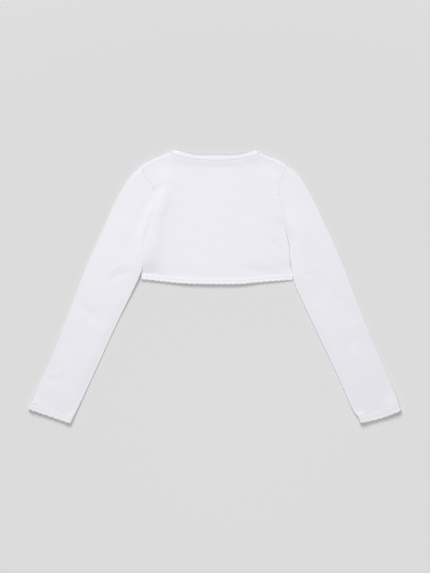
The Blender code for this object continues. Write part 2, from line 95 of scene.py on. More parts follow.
class Slot(Enum):
    """The record's material slots."""

    JERSEY = "jersey"
    EDGING = "edging"


@dataclass(frozen=True)
class Fold:
    """A soft ridge, or a trough where its height is negative, along a path in the plan."""

    height: float
    half_width: float
    on: Cloth
    path: Rows  # X, Y and, where it isn't the same all along, the share of the height
    fade: bool = False  # whether it dies away towards both ends


@dataclass(frozen=True)
class Section:
    """One section across a flattened sleeve, from its outer fold to its inner fold."""

    outer_x: float
    outer_y: float
    inner_x: float
    inner_y: float
    bow: float  # share of the armhole's curve that it still follows
    fold: float  # height of the tube at its outer fold
    inner: float  # height of the tube at its inner fold
    lift: float  # height of its underside at the inner fold
    run: float  # its top goes from its inner fold to the flat over this
    level: float  # height of its top in the middle

    @property
    def folds(self) -> Array:
        """Its outer and its inner fold in the plan."""
        return np.array([[self.outer_x, self.outer_y], [self.inner_x, self.inner_y]])

    @property
    def width(self) -> float:
        """Distance between its folds."""
        return math.hypot(self.inner_x - self.outer_x, self.inner_y - self.outer_y)


@dataclass(frozen=True)
class SidePlan:
    """One half's outlines in the plan."""

    shoulder: Rows
    armhole: Rows
    side: Rows  # where the back meets the sleeve's inner fold, and the hem's end
    side_rise: Rows  # how high the back stands up against the sleeve there, by Y
    front_edge: Rows
    sleeve: Rows  # a Section in each row, from the armhole to the cuff's edge


PLANS = {
    Side.LEFT: SidePlan(
        shoulder=((-116, 194.4), (-103.2, 201.5), (-90.4, 206.5), (-77.9, 211.9), (-71.2, 215.6)),
        armhole=(
            (-116, 194.4), (-111.6, 176.4), (-101, 163), (-95.4, 149), (-97.2, 130.6), (-102.4, 111.4),
            (-107.6, 93),
        ),
        side=((-107.6, 93), (-111.6, 81), (-113.9, 65), (-114.8, 46), (-117.6, 22.2)),
        side_rise=(
            (14, -1.1), (22, -0.6), (30, 0.9), (38, 1.8), (48, 1.9), (60, 1.8), (78, 1.4), (93, 1),
            (112, 0.5),
        ),
        front_edge=(
            (-71.2, 216), (-66, 196), (-56, 174), (-38, 154), (-20, 141), (-10.6, 126), (-9.6, 100),
            (-9.6, 60), (-9.6, 15.6),
        ),
        sleeve=(
            (-116, 194.4, -107.6, 93, 1, 3.6, 2.2, 3.4, 30, 4.2),
            (-137.8, 172.2, -111.4, 81, 0.62, 3, 2, 3.8, 25, 4.2),
            (-158.9, 136.7, -113.6, 65, 0.32, 2.4, 2, 4.2, 21, 4.2),
            (-175.9, 98.5, -114.2, 45.8, 0.1, 2.2, 2, 4.6, 18, 4.2),
            (-190.8, 66.1, -117, 25, 0, 2.2, 2, 4.5, 15, 4.2),
            (-207.6, 26.6, -128.1, -0.5, 0, 2.2, 1.9, 2.2, 11, 3.8),
            (-232, -38, -158.1, -62.1, 0, 2.2, 1.9, 0, 8, 3.2),
            (-263.2, -117.6, -194.8, -142.5, 0, 2.2, 1.9, 0, 8, 3.3),
            (-286, -167.9, -218.1, -193.5, 0, 3.6, 3.4, 0, 8, 4),
            (-292.6, -185.4, -225.6, -208.9, 0, 5.2, 5.2, 0, 10, 4.2),
            (-297.8, -196.3, -230.2, -219.2, 0, 5.2, 5.2, 0, 10, 4.2),
        ),
    ),
    Side.RIGHT: SidePlan(
        shoulder=((114.6, 194.8), (98.2, 203.4), (85, 207.4), (77.9, 211.3), (72.2, 215.2)),
        armhole=(
            (114.6, 194.8), (110.4, 182.6), (104.6, 170.6), (102, 157.8), (103, 144), (107.2, 128),
            (109.6, 110), (112.2, 93),
        ),
        side=((112.2, 93), (115.2, 81), (118.2, 65), (119.8, 46), (120.6, 33), (123.8, 22.2)),
        side_rise=(
            (14, -2.1), (24, -2), (34, -1.7), (46, -1.3), (65, -1.2), (81, -1.2), (93, -1.1), (130, 0),
        ),
        front_edge=(
            (72.2, 215.7), (67, 196), (57, 174), (38.6, 154), (20.4, 141), (10.6, 126), (9.6, 100),
            (9.6, 60), (9.6, 15.6),
        ),
        sleeve=(
            (114.6, 194.8, 112.2, 93, 1, 3.6, 2.2, 0.8, 10, 4.2),
            (137.1, 174.3, 115.5, 81, 0.62, 3, 2, 0.7, 10, 4.2),
            (158, 139.2, 118.5, 65, 0.32, 2.4, 2, 1, 10, 4.2),
            (175.8, 101.1, 120.1, 45.8, 0.1, 2.2, 2, 1, 10, 4.2),
            (191.4, 67.3, 122.8, 25, 0, 2.2, 2.2, 0.6, 9, 4.2),
            (208.2, 27.4, 129.5, -0.3, 0, 2.2, 2.4, 0, 8, 4.2),
            (232.7, -36.6, 157.9, -61.7, 0, 2.2, 2.4, 0, 7, 4.2),
            (265.3, -116.4, 196, -142.2, 0, 2.2, 2.4, 0, 7, 4.2),
            (286.6, -165.9, 218.6, -194.2, 0, 3.6, 3.4, 0, 8, 4.2),
            (293.7, -185.3, 227.7, -207.7, 0, 5.6, 5.6, 0, 10, 4.2),
            (298.2, -198.6, 232.5, -218.6, 0, 5.8, 5.8, 0, 10, 4.2),
        ),
    ),
}
NECK: Rows = (  # upper edge of the back neckband
    (-63.6, 218.2), (-46.2, 213.6), (-29, 209.6), (0, 209.2), (30, 209.5), (47, 212), (64.2, 217.9),
)
NECK_SEAM: Rows = (  # seam of the back neckband
    (-71.2, 216), (-67, 211.8), (-58, 208.2), (-36.6, 203.8), (-9.8, 201.5), (14.6, 201.7), (39.5, 203.7),
    (58.6, 208), (68, 211.6), (72.2, 215.7),
)
HEM: Rows = (  # lower edge of the back, at the tips of its scallops
    (-117.4, 11.2), (-99.7, 9.6), (-75, 6.8), (-47.8, 4.5), (-15.8, 3.6), (16.2, 3.3), (44.2, 3.9),
    (64.2, 5.9), (94.2, 8.3), (124.2, 10.2),
)
MAIN_FOLDS = (  # large soft forms: the solids have the chief of them too
    Fold(-0.8, 8, Cloth.BOTH, (
        (-78, 170, 0), (-86, 158, 0.9), (-98, 145, 1), (-106, 132, 0.9), (-111, 119, 0.8),
        (-113.5, 106, 0.6), (-118, 90, 0),
    )),
    Fold(3.4, 15, Cloth.BOTH, (
        (-76, 194, 0), (-79, 168, 0.4), (-83, 150, 0.54), (-89, 132, 0.62), (-95, 118, 0.67),
        (-100, 102, 0.74), (-104, 84, 0.84), (-106, 66, 0.95), (-109, 52, 0.9), (-111, 42, 0.6),
        (-114, 30, 0.2), (-116, 20, 0),
    )),
    Fold(1.6, 15, Cloth.BOTH, (
        (-67, 194, 0), (-70, 168, 0.2), (-74, 150, 0.45), (-79, 132, 0.75), (-84, 118, 0.9), (-90, 102, 1),
        (-94, 84, 1), (-96, 66, 0.9), (-98, 52, 0.7), (-100, 42, 0.5), (-103, 28, 0),
    )),
    Fold(-1.4, 18, Cloth.BACK, ((-40, 16, 0), (-66, 15, 0.6), (-92, 13, 1), (-122, 14, 1))),
    Fold(-1.4, 20, Cloth.BACK, ((30, 16, 0), (60, 15, 0.6), (90, 13, 1), (126, 14, 1))),
    Fold(-0.4, 4, Cloth.BOTH, ((-104, 152), (-96, 152.5), (-88, 153.5)), True),
    Fold(-0.2, 4.5, Cloth.SLEEVE, ((-115, 134), (-118, 95)), True),
    Fold(1.4, 14, Cloth.SLEEVE, (
        (124, 140, 0), (129, 110, 0.8), (134, 78, 1), (137, 50, 1), (146, 12, 0.6), (158, -20, 0),
    )),
    Fold(0.8, 26, Cloth.SLEEVE, ((140, 130, 0), (150, 84, 1), (158, 40, 1), (172, 0, 0))),
    Fold(-0.7, 6, Cloth.BACK, ((96, 67), (103, 52), (116, 30))),
    Fold(-0.6, 7, Cloth.SLEEVE, ((-211, -34), (-187, -57))),
    Fold(-0.6, 6, Cloth.SLEEVE, ((-280, -138), (-262, -150))),
    Fold(-0.6, 7, Cloth.SLEEVE, ((196, -20), (222, -52))),
)
CREASES = tuple(  # smaller ones, uneven in length and depth
    Fold(height, half_width, on, path, fade=True)
    for height, half_width, on, *path in (
        (-0.15, 2.4, Cloth.BOTH, (-97.5, 133), (-103, 118), (-107, 100)),
        (0.35, 2.6, Cloth.SLEEVE, (-104, 129), (-109, 112), (-112, 92)),
        (-0.4, 3, Cloth.SLEEVE, (-112, 142), (-116, 122), (-118.5, 98)),
        (-0.5, 6, Cloth.BACK, (-72, 152), (-76, 120), (-84, 98)),
        (-0.4, 4, Cloth.BACK, (-92, 72), (-99, 50), (-108, 31)),
        (-0.2, 5, Cloth.SLEEVE, (-103, 168), (-112, 160), (-121, 146)),
        (-0.15, 4, Cloth.SLEEVE, (-108, 172), (-118, 164), (-128, 148)),
        (-0.4, 3, Cloth.BACK, (96, 186), (103, 178), (104, 166)),
        (-0.5, 9, Cloth.BACK, (68, 197), (86, 191), (102, 181)),
        (0.4, 3, Cloth.SLEEVE, (108, 172), (114, 166), (122, 152)),
        (0.5, 4, Cloth.SLEEVE, (112, 122), (117, 104), (121, 80)),
        (-0.5, 4, Cloth.BACK, (90, 84), (98, 66), (110, 46)),
        (0.35, 4, Cloth.BACK, (84, 74), (96, 56), (110, 36)),
        (-0.2, 2.4, Cloth.BACK, (-20, 199), (8, 198), (36, 199)),
        (-0.18, 2.4, Cloth.BACK, (-16, 192.4), (8, 191.6), (32, 192.6)),
        (-0.35, 5, Cloth.BACK, (40, 30), (72, 26), (104, 22)),
        (-0.3, 5, Cloth.BACK, (-84, 26), (-44, 22), (-12, 21)),
        (-0.45, 4, Cloth.SLEEVE, (-136, 22), (-158, 16), (-176, 4)),
        (0.4, 4.5, Cloth.SLEEVE, (-128, 38), (-150, 34), (-172, 20)),
        (-0.4, 5, Cloth.SLEEVE, (-184, -30), (-200, -50), (-208, -74)),
        (-0.35, 4, Cloth.SLEEVE, (-224, -88), (-240, -92), (-256, -88)),
        (0.35, 5, Cloth.SLEEVE, (-236, -128), (-252, -140), (-270, -142)),
        (-0.4, 4, Cloth.SLEEVE, (134, 24), (156, 16), (172, 2)),
        (0.35, 4.5, Cloth.SLEEVE, (140, 42), (160, 34), (184, 14)),
        (-0.4, 5, Cloth.SLEEVE, (226, -78), (214, -96), (206, -118)),
        (0.3, 5, Cloth.SLEEVE, (250, -120), (262, -142), (266, -164)),
    )
)
FOLDS = MAIN_FOLDS + CREASES


def smooth(rows: Rows, places: Row) -> Array:
    """Reads a table at fractional row numbers, on the Catmull-Rom curve through its rows.

    Args:
        rows: The table.
        places: Row numbers.

    Returns:
        One row for each place.
    """
    rows, places = np.asarray(rows, float), np.asarray(places, float)
    padded = np.vstack([2 * rows[0] - rows[1], rows, 2 * rows[-1] - rows[-2]])
    first = np.clip(np.floor(places).astype(int), 0, len(rows) - 2)
    step = (places - first)[:, None]
    a, b, c, d = (padded[first + k] for k in range(4))
    return b + step / 2 * (c - a + step * (2 * a - 5 * b + 4 * c - d + step * (3 * (b - c) + d - a)))


def read_profile(profile: Rows, places: Array, fineness: int) -> Array:
    """Reads a profile's second column by its first, on the smooth curve through its rows."""
    fine = smooth(profile, np.linspace(0, len(profile) - 1, fineness))
    return np.interp(places, fine[:, 0], fine[:, 1])


def run_of(line: Array) -> Array:
    """Length of a line up to each of its points."""
    return np.concatenate([[0.0], np.cumsum(np.linalg.norm(np.diff(line, axis=0), axis=1))])


def along(rows: Rows, shares: Row) -> Array:
    """Finds points on the smooth curve through a table's points.

    Args:
        rows: The table.
        shares: Shares of the curve's length.

    Returns:
        One point for each share.
    """
    fine = smooth(rows, np.linspace(0, len(rows) - 1, CURVE_POINTS * len(rows)))
    run = run_of(fine)
    return np.column_stack([np.interp(np.asarray(shares) * run[-1], run, column) for column in fine.T])


def at_height(plan: Array, height: float | Array) -> Array:
    """Points of the plan at a height, or each at its own."""
    return np.column_stack([plan, np.broadcast_to(height, len(plan))])


def ease(share: Array) -> Array:
    """A smooth step from 0 to 1."""
    share = np.clip(share, 0, 1)
    return share * share * (3 - 2 * share)


def swell(away: Array, reach: float) -> Array:
    """A soft bell: 1 on a line, and low at its reach away from it."""
    return np.exp(-((away / reach) ** 2))


def unit(step: Array) -> Array:
    """Vectors of length 1 in the given directions."""
    return step / np.linalg.norm(step, axis=-1, keepdims=True)


def nearest(line: Array, points: Array) -> tuple[Array, Array]:
    """Measures points against a line in the plan.

    Args:
        line: The line's points.
        points: The points, of which X and Y count.

    Returns:
        The distance to the line, and the length of the line up to the nearest place on it.
    """
    start, step = line[:-1], np.diff(line, axis=0)
    size = np.maximum((step**2).sum(axis=1), TINY)
    dx, dy = points[..., :1] - start[:, 0], points[..., 1:2] - start[:, 1]
    share = np.clip((dx * step[:, 0] + dy * step[:, 1]) / size, 0, 1)
    away = np.hypot(dx - share * step[:, 0], dy - share * step[:, 1])
    best = away.argmin(axis=-1)[..., None]
    place = run_of(line)[:-1] + share * np.sqrt(size)
    return np.take_along_axis(away, best, -1)[..., 0], np.take_along_axis(place, best, -1)[..., 0]


def relief(on: Cloth, points: Array) -> Array:
    """Adds up the height of the folds in a cut piece.

    Args:
        on: The cut piece.
        points: Its points.

    Returns:
        The height at each point.
    """
    total = np.zeros(points.shape[:-1])
    for fold in FOLDS:
        if fold.on not in (on, Cloth.BOTH):
            continue
        rows = along(fold.path, np.linspace(0, 1, LINE_POINTS))
        line, shares = rows[:, :2], rows[:, 2:].ravel()
        margin = FOLD_REACH * fold.half_width
        low, high = line.min(axis=0) - margin, line.max(axis=0) + margin
        near = ((points[..., :2] > low) & (points[..., :2] < high)).all(axis=-1)
        if not near.any():
            continue
        away, place = nearest(line, points[near])
        run = run_of(line)
        if len(shares):
            ends = np.interp(place, run, shares)
        else:
            ends = np.sin(np.pi * np.clip(place / run[-1], 0, 1)) ** FADE_POWER if fold.fade else 1.0
        total[near] += fold.height * ends * swell(away, fold.half_width)
    return total


def undulation(points: Array, seed: int, height: float, length: float) -> Array:
    """Soft waves of uneven length and direction, as cloth smoothed out by hand keeps them.

    Args:
        points: Points, read in the plan.
        seed: Picks the waves.
        height: Half height of the waves together.
        length: Middle wavelength.

    Returns:
        The height at each point.
    """
    draw = np.random.default_rng(seed)
    total = np.zeros(points.shape[:-1])
    for _ in range(WAVES):
        angle, phase = draw.uniform(0, math.tau, 2)
        number = math.tau / (length * draw.uniform(*WAVE_SPREAD))
        way = points[..., 0] * math.cos(angle) + points[..., 1] * math.sin(angle)
        total += np.sin(way * number + phase)
    return total * height / math.sqrt(WAVES)


def pucker(away: Array, place: Array, height: float, pitch: float, reach: float) -> Array:
    """Small gathers beside a line of sewing, kept uneven by two slow waves of their spacing.

    Args:
        away: Distance from the seam.
        place: Length of the seam up to each point.
        height: Half height of the gathers.
        pitch: Middle distance between gathers.
        reach: Distance over which they die away.

    Returns:
        The height at each point.
    """
    wander = 1.3 * np.sin(place / (2.7 * pitch)) + 0.8 * np.sin(place / (1.1 * pitch) + 2.0)
    return height * np.sin(math.tau * place / pitch + wander) * np.exp(-away / reach)


def normals_of(tube: Array) -> Array:
    """Unit normals of a tube's net, by the right-hand rule of its columns and rows."""
    across = np.roll(tube, -1, axis=1) - np.roll(tube, 1, axis=1)
    return unit(np.cross(across, np.gradient(tube, axis=0)))


def linear(colour: str) -> tuple[float, float, float, float]:
    """Turns an sRGB hex colour to linear RGBA.

    Args:
        colour: A hash sign and six digits.

    Returns:
        Red, green, blue and full opacity.
    """
    values = [int(colour[k : k + 2], 16) / 255 for k in (1, 3, 5)]
    red, green, blue = (v / 12.92 if v <= 0.04045 else ((v + 0.055) / 1.055) ** 2.4 for v in values)
    return red, green, blue, 1.0


def wire(tree: NodeTree, node: Node, inputs: dict) -> None:
    """Gives a node's inputs their values and links.

    Args:
        tree: The node's tree.
        node: The node.
        inputs: For an input's number or name, a value, an output or a node whose first output it takes.
    """
    for key, value in inputs.items():
        value = value.outputs[0] if isinstance(value, Node) else value
        if isinstance(value, NodeSocket):
            tree.links.new(value, node.inputs[key])
        else:
            node.inputs[key].default_value = value


def add(tree: NodeTree, kind: str, inputs: dict | None = None, **settings: object) -> Node:
    """Adds a node with its settings and links.

    Args:
        tree: The tree that it joins.
        kind: Blender's name for the node type.
        inputs: Its inputs, as wire takes them.
        settings: Attributes of the node.

    Returns:
        The node.
    """
    node = tree.nodes.new(kind)
    for key, value in settings.items():
        setattr(node, key, value)
    wire(tree, node, inputs or {})
    return node


@dataclass(frozen=True)
class Finish:
    """What the shrug's cotton finishes share: matt fibres with a soft bloom, and no shine to speak of."""

    name: str
    face: str
    # painted shade: the colour of the structure's hollows, darker than its face, where its height is low
    hollow_painted_shade: str
    mottle: str
    depth_mm: float = 0.1  # of the structure
    roughness: float = 0.92
    sheen: float = 0.08
    fibre_mm: float = 0.7  # real fibres stand 0.02 mm apart: drawn as fluff that shows
    fuzz_mm: float = 0.1  # how far the fluff stands out
    mottle_mm: float = 34.0  # size of the cloudy patches that washing leaves

    def steps(self) -> Steps:
        """Works the structure's height, from 0 to 1, out of "across" and "up", metres on the knitting."""
        raise NotImplementedError

    def relief(self, tree: NodeTree) -> Node | NodeSocket:
        """Draws the cloth's structure.

        Args:
            tree: The material's tree.

        Returns:
            A height from 0 to 1.
        """
        axes = add(tree, "ShaderNodeSeparateXYZ", {0: add(tree, "ShaderNodeUVMap", uv_map=UV_MAP)}).outputs
        made: dict = {"across": axes[0], "up": axes[1]}
        for name, operation, *values in self.steps():
            inputs = {place: made.get(value, value) for place, value in enumerate(values)}
            made[name] = add(tree, "ShaderNodeMath", inputs, operation=operation)
        return made["height"]

    def material(self) -> Material:
        """Builds the material.

        Returns:
            The material.
        """
        material = bpy.data.materials.new(self.name)
        material.use_nodes = True
        tree = material.node_tree
        height = self.relief(tree)
        place = add(tree, "ShaderNodeTexCoord").outputs["Object"]
        cloud, fluff = (
            add(tree, "ShaderNodeTexNoise", {"Vector": place, "Scale": 1 / (size * MM)} | detail)
            for size, detail in (
                (self.mottle_mm, {"Detail": 2.0, "Roughness": 0.5}),
                (self.fibre_mm, {"Detail": 3.0, "Roughness": 0.7}),
            )
        )
        patches = add(tree, "ShaderNodeMapRange", {0: cloud, 1: 0.35, 2: 0.7, 3: 0.0, 4: 0.5})
        # Painted shade: the structure's hollows take the darker hollow colour and its raised loops the face
        # colour; the random mottle goes over that.
        colour: tuple | NodeSocket = linear(self.hollow_painted_shade)
        for share, other in ((height, self.face), (patches, self.mottle)):
            mixed = {"Factor": share, 6: colour, 7: linear(other)}
            colour = add(tree, "ShaderNodeMix", mixed, data_type="RGBA").outputs[2]
        knit = {"Strength": 1.0, "Distance": self.depth_mm * MM, "Height": height}
        fuzz = {"Strength": 0.5, "Distance": self.fuzz_mm * MM, "Height": fluff}
        surface = {
            "Base Color": colour,
            "Normal": add(tree, "ShaderNodeBump", fuzz | {"Normal": add(tree, "ShaderNodeBump", knit)}),
            "Roughness": self.roughness,
            "Metallic": 0.0,
            "IOR": 1.45,
            "Specular IOR Level": 0.2,
            "Sheen Weight": self.sheen,
            "Sheen Roughness": 0.6,
        }
        wire(tree, tree.nodes["Principled BSDF"], surface)
        return material


@dataclass(frozen=True)
class Jersey(Finish):
    """Combed cotton jersey, knitted and washed: columns of V stitches, matt, white with a breath of lilac.

    Its wales are really 1.3 mm apart and its courses 1.0 mm, too fine to show, so both are drawn coarser.
    """

    depth_mm: float = 0.07
    wale_mm: float = 3.2
    course_mm: float = 2.6
    slant: float = 0.9  # how many courses a leg of the V climbs over its width

    def steps(self) -> Steps:
        """Draws the V stitches: two legs to a wale, each climbing outwards.

        Returns:
            The structure's Math nodes.
        """
        half = self.wale_mm * MM / 2
        return (
            ("out", "PINGPONG", "across", half),
            ("leg_turn", "MULTIPLY", "out", math.pi / half),
            ("leg", "SINE", "leg_turn"),
            ("leg_up", "MAXIMUM", "leg", 0.0),
            ("full", "POWER", "leg_up", 0.6),  # rounder than a sine
            ("climb", "MULTIPLY", "out", -self.slant * math.pi / half),
            ("turn", "MULTIPLY_ADD", "up", math.tau / (self.course_mm * MM), "climb"),
            ("wave", "COSINE", "turn"),
            ("loop", "MULTIPLY_ADD", "wave", 0.3, 0.7),  # from 0.4 between the courses to 1
            ("height", "MULTIPLY", "full", "loop"),
        )


@dataclass(frozen=True)
class Edging(Finish):
    """Cotton rib edging, knitted tighter than the jersey: fine ribs to its edge, and a little brighter."""

    depth_mm: float = 0.18
    rib_mm: float = 2.2
    rib_low: float = 0.5  # height between the ribs
    row_mm: float = 1.8
    row_low: float = 0.75

    def steps(self) -> Steps:
        """Draws the ribs, broken by the rows.

        Returns:
            The structure's Math nodes.
        """
        steps: list[tuple] = []
        waves = (("rib", "across", self.rib_mm, self.rib_low), ("row", "up", self.row_mm, self.row_low))
        for name, axis, pitch, low in waves:
            steps += [
                (f"{name}_turn", "MULTIPLY", axis, math.tau / (pitch * MM)),
                (f"{name}_wave", "SINE", f"{name}_turn"),
                (name, "MULTIPLY_ADD", f"{name}_wave", (1 - low) / 2, (1 + low) / 2),
            ]
        return [*steps, ("height", "MULTIPLY", "rib", "row")]


@dataclass(frozen=True)
class Yarn(Finish):
    """Two-ply cotton linking yarn, lying on the seams: the same white, rounder and a little brighter."""

    depth_mm: float = 0.08
    ply_mm: float = 0.9

    def relief(self, tree: NodeTree) -> NodeSocket:
        """Draws the twist of the plies, as slanted bands round the yarn.

        Args:
            tree: The material's tree.

        Returns:
            A height from 0 to 1.
        """
        place, scale = add(tree, "ShaderNodeTexCoord").outputs["Object"], 1 / (self.ply_mm * MM) / math.tau
        twist = {"Vector": place, "Scale": scale, "Distortion": 1.0}
        return add(tree, "ShaderNodeTexWave", twist, bands_direction="DIAGONAL").outputs["Fac"]


@dataclass(frozen=True)
class Finishes:
    """The shrug's three finishes, built once."""

    jersey: Material
    edging: Material
    yarn: Material

    @classmethod
    def build(cls) -> "Finishes":
        """Makes the three materials."""
        return cls(
            # Each finish: its name, the face colour, the painted shade of its hollows, and its random
            # mottle.
            Jersey("cotton_jersey_knit", "#f3f2f8", "#e6e5eb", "#edecf2").material(),
            Edging("cotton_rib_edging", "#f5f4fa", "#e8e7ed", "#efeef4").material(),
            Yarn("cotton_linking_yarn", "#f3f2f8", "#e8e7ed", "#edecf2").material(),
        )


def linked(name: str, data: ID) -> Object:
    """Makes an object and links it to the scene.

    Args:
        name: The object's name.
        data: Its mesh, light or camera.

    Returns:
        The object.
    """
    obj = bpy.data.objects.new(name, data)
    bpy.context.scene.collection.objects.link(obj)
    return obj


def to_object(name: str, points: Array, knit: Array, tube: bool = False, ring: bool = False) -> Object:
    """Makes an object from a net of points.

    Args:
        name: The piece's name.
        points: Rows of points in millimetres.
        knit: Each point's place on the knitting, in millimetres; it has a further column where the net is a
            tube, and a further row where it is a ring.
        tube: Whether the columns close.
        ring: Whether the rows close. A tube that is no ring is left open here.

    Returns:
        The object, with its knitting as a UV map.
    """
    rows, columns = points.shape[:2]
    r, c = np.meshgrid(np.arange(rows - (not ring)), np.arange(columns - (not tube)), indexing="ij")
    corners = [(0, 0), (0, 1), (1, 1), (1, 0)]
    faces = np.stack([(r + i) % rows * columns + (c + j) % columns for i, j in corners], axis=-1)
    places = np.stack([knit[r + i, c + j] for i, j in corners], axis=2) * MM
    placed = (points + PLAN_SHIFT).reshape(-1, 3) * MM
    mesh = bpy.data.meshes.new(name)
    mesh.from_pydata(placed.tolist(), [], faces.reshape(-1, 4).tolist())
    mesh.uv_layers.new(name=UV_MAP)
    mesh.uv_layers[UV_MAP].data.foreach_set("uv", places.ravel())
    mesh.shade_smooth()
    return linked(name, mesh)


def turn_outwards(obj: Object, towards: tuple[float, float, float] | None = None) -> None:
    """Turns a piece's faces outwards.

    Args:
        obj: The piece.
        towards: The way that an open net's first face looks. Without it the piece is made a closed body.
    """
    work = bmesh.new()
    work.from_mesh(obj.data)
    if towards is None:
        rims = [edge for edge in work.edges if edge.is_boundary]
        ends = bmesh.ops.holes_fill(work, edges=rims, sides=0)["faces"]
        bmesh.ops.triangulate(work, faces=ends)
    bmesh.ops.recalc_face_normals(work, faces=work.faces)
    work.faces.ensure_lookup_table()
    if towards is not None and work.faces[0].normal.dot(Vector(towards)) < 0:
        bmesh.ops.reverse_faces(work, faces=work.faces)
    work.to_mesh(obj.data)
    work.free()


def bake(obj: Object) -> None:
    """Applies a piece's modifiers and keeps the edges of its wall crisp.

    Args:
        obj: The piece.
    """
    mesh = bpy.data.meshes.new_from_object(obj.evaluated_get(bpy.context.evaluated_depsgraph_get()))
    obj.modifiers.clear()
    obj.data = mesh
    mesh.name = obj.name
    mesh.set_sharp_from_angle(angle=CRISP_ANGLE)


def dress(obj: Object, material: Material, slot: Slot, *nodes: str) -> Object:
    """Finishes a piece and sets it on the body.

    Args:
        obj: The piece.
        material: Its finish.
        slot: The record's slot that the finish belongs to; not used.
        nodes: The solids that it stands for.

    Returns:
        The piece.
    """
    obj.data.materials.clear()
    obj.data.materials.append(material)
    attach(obj, BODY)
    if nodes:
        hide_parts(*nodes)
    LOG.info("%s: %d faces", obj.name, len(obj.data.polygons))
    return obj


@dataclass(frozen=True)
class Lay:
    """How the garment's two layers lie, which every piece shares."""

    wall: float = 1.4  # thickness of the bands
    cloth: float = 0.9  # thickness of the panels
    seam: float = 0.02  # room between pieces at a seam, closed by its sewing
    level: float = 4.2  # height of the upper layer's outer face
    lift_run: float = 19.0  # a sleeve's underside starts to climb this far from its inner fold
    lift_flat: float = 8.0  # and ends its climb on to the body's side this far from it
    crown_run: float = 18.0  # from a sleeve's outer fold, or the body's side, to where the top is level
    calm: float = 0.5  # share of the folds that the back loses beside a sleeve
    waves: tuple[int, float, float] = (3, 0.1, 46.0)  # the back's undulation: seed, half height and length
    swell_line: tuple[float, float, int] = (0.08, 0.92, 40)  # part of the neckband's seam, and points
    neck_swell: float = 1.3  # how far the cloth stands over its level along that
    neck_reach: float = 8.0  # and how far from it the swell dies away
    shoulder_fold: float = 4.2  # height of the fronts' fold at the shoulder
    shoulder_turn: float = 6.4  # how far the fronts turn over on to the back
    shoulder_reach: float = 0.992  # share of the shoulder's outline that they turn over
    hem_depth: float = 11.2
    band_depth: float = 8.6
    dip: float = 0.06  # how far the cloth is drawn down at a seam
    dip_run: float = 1.5
    gathers: tuple[float, float, float] = (0.12, 8.5, 5.0)  # beside a panel's seams, as pucker takes them
    gather_step: float = 31.0  # lets the gathers of the next seam start elsewhere

    def back_height(self, points: Array) -> Array:
        """Height of the back's outer face: level, with its folds, and turned to meet the sleeves.

        Args:
            points: Points, read in the plan.

        Returns:
            The height at each point.
        """
        near, stood = np.zeros((2, *points.shape[:-1]))
        for plan in PLANS.values():
            away, _ = nearest(along(plan.side, np.linspace(0, 1, LINE_POINTS)), points)
            close = swell(away, self.crown_run)
            near = np.maximum(near, close)
            stood += np.interp(points[..., 1], *np.transpose(plan.side_rise)) * close
        away, _ = nearest(along(NECK_SEAM, np.linspace(*self.swell_line)), points)
        stood += self.neck_swell * swell(away, self.neck_reach)
        folds = relief(Cloth.BACK, points) + undulation(points, *self.waves)
        return self.level + folds * (1 - self.calm * near) + stood

    def drawn_in(self, points: Array, borders: Sequence[Array]) -> Array:
        """How far a panel is drawn down where it nears its seams, with small gathers beside them.

        Args:
            points: The panel's net.
            borders: Lines of sewing in the plan.

        Returns:
            A height to add at each point.
        """
        total = np.zeros(points.shape[:2])
        for number, border in enumerate(borders):
            away, place = nearest(border[:, :2], points)
            total -= self.dip * swell(away, self.dip_run)
            total += pucker(away, place + self.gather_step * number, *self.gathers)
        return total

    def shoulder_line(self, side: Side, shares: Row, offset: float, top: float) -> Array:
        """The shoulder's outline moved in, between the lines of the armhole and the neck.

        Args:
            side: The wearer's side.
            shares: Places from the armhole to the neck.
            offset: How far in.
            top: 0 on the underside and 1 on the upper side, where the neck's line is the neckband's seam.

        Returns:
            Points in the plan.
        """
        plan = PLANS[side]
        neck_seam = np.array(NECK_SEAM if side is Side.LEFT else NECK_SEAM[::-1])
        edge, armhole = np.array(plan.front_edge), np.array(plan.armhole)
        outline = along(plan.shoulder, np.asarray(shares) * self.shoulder_reach)
        neck = (1 - top) * unit(edge[1] - edge[0]) + top * unit(neck_seam[1] - neck_seam[0])
        shares = np.asarray(shares)[:, None]
        return outline + offset * ((1 - shares) * unit(armhole[1] - armhole[0]) + shares * unit(neck))


LAY = Lay()


def dress_panel(obj: Object, towards: tuple[float, float, float], jersey: Material, node: str) -> Object:
    """Gives a panel's outer face its wall, inwards, and dresses it.

    Args:
        obj: The panel, still a net.
        towards: The way that its first face looks.
        jersey: Its finish.
        node: The solid that it stands for.

    Returns:
        The piece.
    """
    turn_outwards(obj, towards)
    wall = obj.modifiers.new("wall", "SOLIDIFY")
    wall.thickness, wall.offset = LAY.cloth * MM, -1.0
    bake(obj)
    return dress(obj, jersey, Slot.JERSEY, node)


def patch(left: Array, right: Array, low: Array, high: Array, across: Array, up: Array) -> Array:
    """Fills a four-sided net between its edges.

    Args:
        left: The left edge, from low to high.
        right: The right edge, from low to high.
        low: The low edge, from left to right.
        high: The high edge, from left to right.
        across: Column places from 0 to 1.
        up: Row places from 0 to 1.

    Returns:
        Rows of points, from low to high.
    """
    u, v = across[None, :, None], up[:, None, None]
    rows = (1 - u) * left[:, None] + u * right[:, None]
    columns = (1 - v) * low[None] + v * high[None]
    ends = (1 - v) * ((1 - u) * low[0] + u * low[-1]) + v * ((1 - u) * high[0] + u * high[-1])
    return rows + columns - ends


